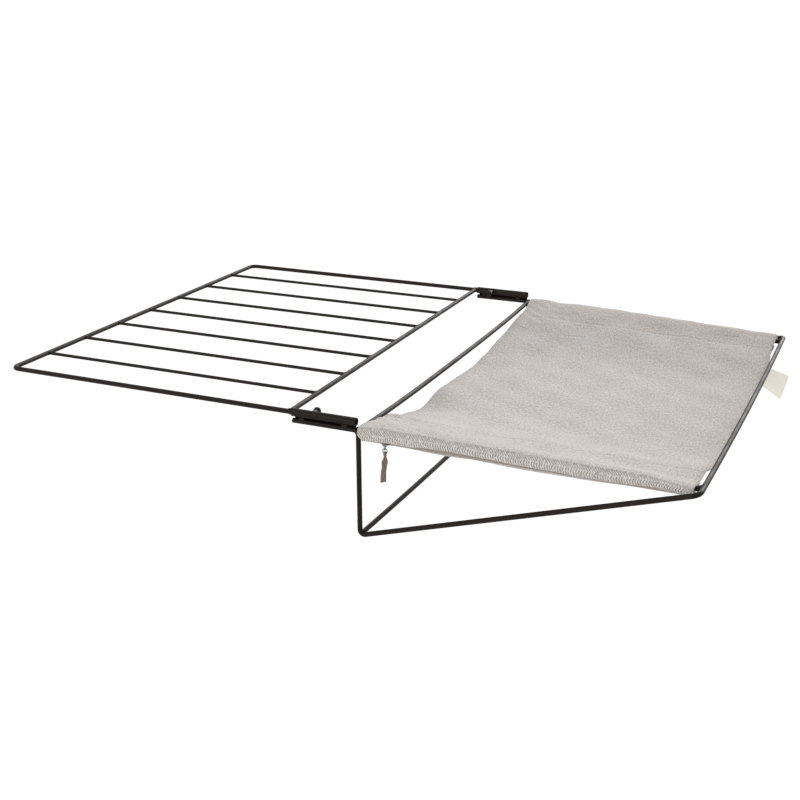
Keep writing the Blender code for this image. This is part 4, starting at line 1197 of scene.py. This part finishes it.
# %% [markdown]
# ## The zips
#
# A zip is two woven tapes with a coil of teeth along each facing edge. Both are taupe: the tape is matt
# and flecked by its threads, and the nylon teeth are smoother.

# %% Zip finish
zip_tape, tape_shader, start = new_finish("taupe_zip_tape", roughness=0.8)
place = start.place()
threads = place.noise(900.0, 2.0)
feed_colour(tape_shader, threads.step(0.3, 0.7), (0.30, 0.245, 0.20), (0.48, 0.410, 0.35))
feed_bump(tape_shader, threads, 0.0002, 0.5)

zip_teeth, teeth_shader, start = new_finish("taupe_nylon_teeth", roughness=0.42)
place = start.place()
feed_colour(teeth_shader, place.noise(400.0), (0.33, 0.270, 0.22), (0.46, 0.390, 0.33))
print("zip finishes:", zip_tape.name, zip_teeth.name)

# %% [markdown]
# ## Tapes and teeth
#
# The tape is a flat section carried along a straight line. A tooth is a small rounded bead. Hundreds
# are needed, so each has only 26 faces, and all of them come out of one array of places.

# %% Zip tapes and teeth
ZIP_START = CLOTH_LEFT + 0.0080
ZIP_END = CLOTH_RIGHT - 0.0060
TOOTH_PITCH = 0.0015
TOOTH_OFFSET = 0.00095
# Half of a tooth along the zip, across it and out of it.
TOOTH_HALF_AXES = (0.00055, 0.00085, 0.00065)


def zip_line(side, x):
    """The slit between the teeth: the middle of the sleeve's chamfered corner."""
    face, bottom = sleeve_corner(x)
    return on_side(side, x, face + CHAMFER / 2, bottom + CHAMFER / 2)


def zip_directions(side):
    """Along the zip, across it and out of the sleeve."""
    along = unit(zip_line(side, ZIP_END) - zip_line(side, ZIP_START))
    across = unit(np.cross(along, (0.0, side, -1.0)))
    return along, across, np.cross(across, along)


def tape_shape(side, sign):
    """A thin rounded strip beside the slit, carried straight along it."""
    along, across, out = zip_directions(side)
    section = np.array(((0.0010, -0.0003), (0.0008, 0.0), (0.0010, 0.0003), (0.0034, 0.0003),
                        (0.0036, 0.0), (0.0034, -0.0003)))
    line = straight(zip_line(side, ZIP_START), zip_line(side, ZIP_END), 60)
    grid = (line[:, None] + sign * section[:, 0, None] * across + section[:, 1, None] * out)
    return shells(grid[None])


def teeth_shape(side, sign):
    """Beads in a row: half axes 0.55 mm along, 0.85 mm across and 0.65 mm out of the zip."""
    along, across, out = zip_directions(side)
    length = float(np.linalg.norm(zip_line(side, ZIP_END) - zip_line(side, ZIP_START)))
    count = int(length / TOOTH_PITCH) - 1
    distance = (np.arange(count) + (0.5 if sign > 0 else 1.0)) * TOOTH_PITCH
    centre = zip_line(side, ZIP_START) + distance[:, None] * along + sign * TOOTH_OFFSET * across
    latitude = np.linspace(-0.42, 0.42, 5)[:, None, None] * math.pi
    half_along, half_across, half_out = TOOTH_HALF_AXES
    shape = (np.sin(latitude) * half_across * across
             + np.cos(latitude) * around(turns(6), half_along * along, half_out * out))
    return shells(centre[:, None, None] + shape)


for side_name, side in SIDES:
    for tape_name, sign in (("outer", side), ("inner", -side)):
        make_piece(f"{side_name}_{tape_name}_tape", tape_shape(side, sign), zip_tape, "hammock",
                   [f"{side_name}_{tape_name}_zip_tape"], sharp=50)
        make_piece(f"{side_name}_{tape_name}_teeth", teeth_shape(side, sign), zip_teeth, "hammock",
                   sharp=80)

# %% [markdown]
# ## The slider and its pull
#
# The slider has a plate above and a plate below the teeth, a neck between them and a bridge on top. The
# plates and the neck are stacked rounded sections, and the bridge is a ring carried along a bent path.

# %% Dark metal and the sliders
dark_metal, metal_shader, start = new_finish("dark_plated_metal", roughness=0.3, metallic=1.0)
place = start.place()
tarnish = place.noise(700.0, 3.0).step(0.3, 0.7)
feed_colour(metal_shader, tarnish, (0.10, 0.092, 0.085), (0.20, 0.187, 0.172))
feed(metal_shader, "Roughness", 0.26 + tarnish * 0.18)

SLIDER_X = CLOTH_LEFT + 0.0255
HALF_COIL = 0.0007
COIL_GAP = 0.0003
HALF_PLATE = 0.00045
PLATE_LIFT = HALF_COIL + COIL_GAP + HALF_PLATE
PLATE_HALF_LENGTH = 0.0045
PLATE_HALF_WIDTH = 0.0026
NECK_HALF_LENGTH = 0.0025
NECK_HALF_WIDTH = 0.0003
BRIDGE_RADIUS = 0.00042
BRIDGE_BEND = 0.0008
# The bridge's corners: along the zip, and out of it.
BRIDGE_CORNERS = ((-0.0022, 0.0014), (-0.0022, 0.0038), (0.0022, 0.0038), (0.0022, 0.0014))


def plate_shape(centre, along, across, out, half_long, half_wide, half_thick):
    """A plate with a rounded outline |u|^4 + |v|^4 = 1 and a rounded rim."""
    level = np.array((-1.0, -0.9, -0.5, 0.5, 0.9, 1.0))
    inset = np.array((0.90, 0.97, 1.0, 1.0, 0.97, 0.90))
    u, v = rounded(turns(32), 0.5)
    flat = (u * half_long)[:, None] * along + (v * half_wide)[:, None] * across
    grid = centre + inset[:, None, None] * flat + (level * half_thick)[:, None, None] * out
    return shells(grid[None])


def slider_shape(side):
    """Two plates, the neck between them and the arched bridge."""
    along, across, out = zip_directions(side)
    centre = zip_line(side, SLIDER_X)
    plates = [plate_shape(centre + out * lift, along, across, out, PLATE_HALF_LENGTH, PLATE_HALF_WIDTH,
                          HALF_PLATE) for lift in (PLATE_LIFT, -PLATE_LIFT)]
    neck = plate_shape(centre, along, across, out, NECK_HALF_LENGTH, NECK_HALF_WIDTH, PLATE_LIFT)
    corners = [centre + u * along + w * out for u, w in BRIDGE_CORNERS]
    bridge = tube(bent_path(corners, BRIDGE_BEND, BRIDGE_BEND), BRIDGE_RADIUS, 12, across)
    return merged(*plates, neck, bridge)


for side_name, side in SIDES:
    make_piece(f"{side_name}_slider_body", slider_shape(side), dark_metal, f"{side_name}_slider",
               [f"{side_name}_zip_slider"])

# %% [markdown]
# ## The pull's wires
#
# A bent wire loop hangs from the bridge, and a ring hangs from the loop. Each is a small ring of
# corners carried round a closed path.

# %% Pull loops and rings
PULL_WIRE = 0.0009
PULL_GAP = 0.0003
RING_RADIUS = 0.00225
LOOP_LIFT = HALF_COIL + 2 * HALF_PLATE + 0.0006 + PULL_WIRE / 2
# How far the loop hangs down, and how far its upper corners lie in and out of the point it turns on.
LOOP_HANG = 0.0080
LOOP_INNER = 0.0025
LOOP_OUTER = 0.0055


def closed_path(corners, *radii):
    """A closed path: a round bend of eight steps at every corner."""
    corners = np.asarray(corners, float)
    around_corners = zip(corners, np.roll(corners, 1, axis=0), np.roll(corners, -1, axis=0), radii)
    return np.concatenate([bend(*corner_and_radius, 8) for corner_and_radius in around_corners])


def pull_places(side):
    """The loop's path and the middle of its first bend, which is its lowest point."""
    _, across, out = zip_directions(side)
    pivot = zip_line(side, SLIDER_X) + out * LOOP_LIFT
    outward = across * side
    corners = (pivot - np.array((0.0, 0.0, LOOP_HANG)), pivot - outward * LOOP_INNER,
               pivot + outward * LOOP_OUTER)
    path = closed_path(corners, 0.0012, 0.0010, 0.0010)
    return path, path[4]


def below_loop(lowest, distance):
    """The place that lies a distance under the top of the ring's line, which rests in the loop."""
    return lowest + np.array((0.0, 0.0, PULL_WIRE + PULL_GAP - distance))


for side_name, side in SIDES:
    loop, lowest = pull_places(side)
    ring = below_loop(lowest, RING_RADIUS) + RING_RADIUS * around(turns(36), (1, 0, 0), (0, 0, 1))
    make_piece(f"{side_name}_wire_loop", tube(loop, PULL_WIRE / 2, 12, (1, 0, 0), closed=True), dark_metal,
               f"{side_name}_loop", [f"{side_name}_pull_loop"])
    make_piece(f"{side_name}_split_ring", tube(ring, PULL_WIRE / 2, 12, (0, 1, 0), closed=True), dark_metal,
               f"{side_name}_strap", [f"{side_name}_jump_ring"])

# %% [markdown]
# ## The leather strap
#
# A narrow leather strip is folded over the ring and hangs down in two layers. Its section is a rounded
# rectangle whose width changes along the strip: narrow where it passes through the ring and wide below.
# The layers twist a little, so one catches the light and the other stays in shade.

# %% Leather straps
leather, leather_shader, start = new_finish("taupe_leather", roughness=0.55)
place = start.place()
creases = place.noise(520.0, 4.0, 0.6)
pores = place.node("ShaderNodeTexVoronoi", {"feature": "DISTANCE_TO_EDGE"},
                   {"Vector": place, "Scale": 2200.0})
feed_colour(leather_shader, creases.step(0.3, 0.7), (0.105, 0.073, 0.056), (0.250, 0.188, 0.152))
feed(leather_shader, "Roughness", 0.48 + creases * 0.2)
feed_bump(leather_shader, pores.step(0.0, 0.25) * 0.5 + creases * 0.5, 0.00015, 0.8)

STRAP_LENGTH = 0.0295
STRAP_THICKNESS = 0.0009
LAYER_GAP = 0.0003
FOLD_GAP = 0.00023
SHORTER_LAYER = 0.0012


def strap_line():
    """Down one layer, over the ring in a half circle and down the other, as (across, up) pairs."""
    fold = PULL_WIRE / 2 + PULL_GAP + FOLD_GAP + STRAP_THICKNESS / 2
    half = (STRAP_THICKNESS + LAYER_GAP) / 2
    left_up = np.linspace(-STRAP_LENGTH, -0.0050, 26)
    right_up = np.linspace(-0.0050, -STRAP_LENGTH + SHORTER_LAYER, 26)
    left, right = (mix(half, fold, smooth_step(up, -0.0060, -0.0010)) for up in (left_up, right_up))
    rising = np.linspace(-0.0045, -0.0004, 6)
    neck = mix(half, fold, smooth_step(rising, -0.0050, -0.0004))
    turn = np.linspace(math.pi, 0, 13)
    stretches = ((-left, left_up), (-neck, rising), (fold * np.cos(turn), fold * np.sin(turn)),
                 (neck[::-1], rising[::-1]), (right, right_up))
    return np.concatenate([np.stack(pair, -1) for pair in stretches])


def strap_shape(fold_centre):
    """The section |u/a|^6 + |w/b|^6 = 1 carried along the strap's line.

    It is turned slowly about the upright, leans its lower end and drifts 2 mm to one side.
    """
    line = strap_line()
    ahead = unit(np.gradient(line, axis=0))
    normal = np.stack((ahead[:, 1], -ahead[:, 0]), -1)
    up = line[:, 1]
    width = (mix(0.0020, 0.0048, smooth_step(-up, 0.0030, 0.0085)) + 0.0011 * hump(up, -0.0090, 0.0022)
             + 0.0007 * smooth_step(-up, 0.0120, STRAP_LENGTH))
    wide, thick = rounded(turns(24), 1 / 3)
    offset = (thick * STRAP_THICKNESS / 2)[:, None] * normal[:, None]
    side_y, z = np.moveaxis(line[:, None] + offset, -1, 0)
    x = width[:, None] / 2 * wide
    z = z + 0.22 * x * smooth_step(-up, 0.024, STRAP_LENGTH)[:, None]
    twist = (0.42 * smooth_step(-up, 0.0040, 0.0200) + 0.50 * hump(up, -0.0100, 0.0030))[:, None]
    drift = -0.0020 * smooth_step(-up, 0.0030, 0.0260)[:, None]
    grid = np.stack((x * np.cos(twist) - side_y * np.sin(twist) + drift,
                     x * np.sin(twist) + side_y * np.cos(twist), z), -1)
    return shells((fold_centre + grid)[None])


for side_name, side in SIDES:
    fold_centre = below_loop(pull_places(side)[1], 2 * RING_RADIUS)
    make_piece(f"{side_name}_leather_strap", strap_shape(fold_centre), leather, f"{side_name}_strap",
               [f"{side_name}_pull_strap"], sharp=60)

# %% [markdown]
# ## The label
#
# A cream woven label is sewn into the hem and slopes out below the rail. Its shape is the straight line
# from root to tip for each place along its width. The front end slopes more than the rear one, which
# gives it a slight twist. It is left bare.

# %% Woven label
WEAVE_PITCH = 0.00045
label_cloth, label_shader, start = new_finish("cream_woven_label", roughness=0.85)
laid, along, across = start.laid()
weave = ((along / WEAVE_PITCH).wave() + (across / WEAVE_PITCH).wave()) * 0.5
feed_colour(label_shader, laid.noise(120.0, 3.0), (0.94, 0.890, 0.75), (0.98, 0.945, 0.84))
feed_bump(label_shader, weave, 0.0001, 0.5)

LABEL_THICKNESS = 0.0008
LABEL_WIDTH = 0.0410
LABEL_LENGTH = 0.0253
LABEL_REAR_INSET = 0.0920
LABEL_REAR_DROP = 0.0065
LABEL_TWIST = 0.0070
# The label's root lies this far outside the hem's edge and this far under it.
LABEL_START = 0.0007
LABEL_LOWER = 0.0002


def label_grid():
    """root + t (reach, -drop) for each place across, where reach^2 + drop^2 = length^2, and a curl."""
    across = np.linspace(0, 1, 42)[:, None]
    inward = LABEL_REAR_INSET + LABEL_WIDTH * across
    t = np.linspace(0, 1, 24)[None]
    y = HALF_WIDTH - inward
    drop = LABEL_REAR_DROP + LABEL_TWIST * across
    reach = np.sqrt(LABEL_LENGTH ** 2 - drop ** 2)
    root_x = CLOTH_RIGHT + rail_x(y) - RAIL_X + LABEL_START
    root_z = panel_height(CLOTH_RIGHT, inward) - LABEL_LOWER
    curl = 0.0005 * np.sin(math.pi * t) + 0.0003 * np.sin(math.pi * t) * np.sin(math.tau * across)
    return points(root_x + reach * t, y, root_z - drop * t + curl)


label, area = make_sheet("bare_label", label_grid(), label_cloth, "woven_label", LABEL_THICKNESS)
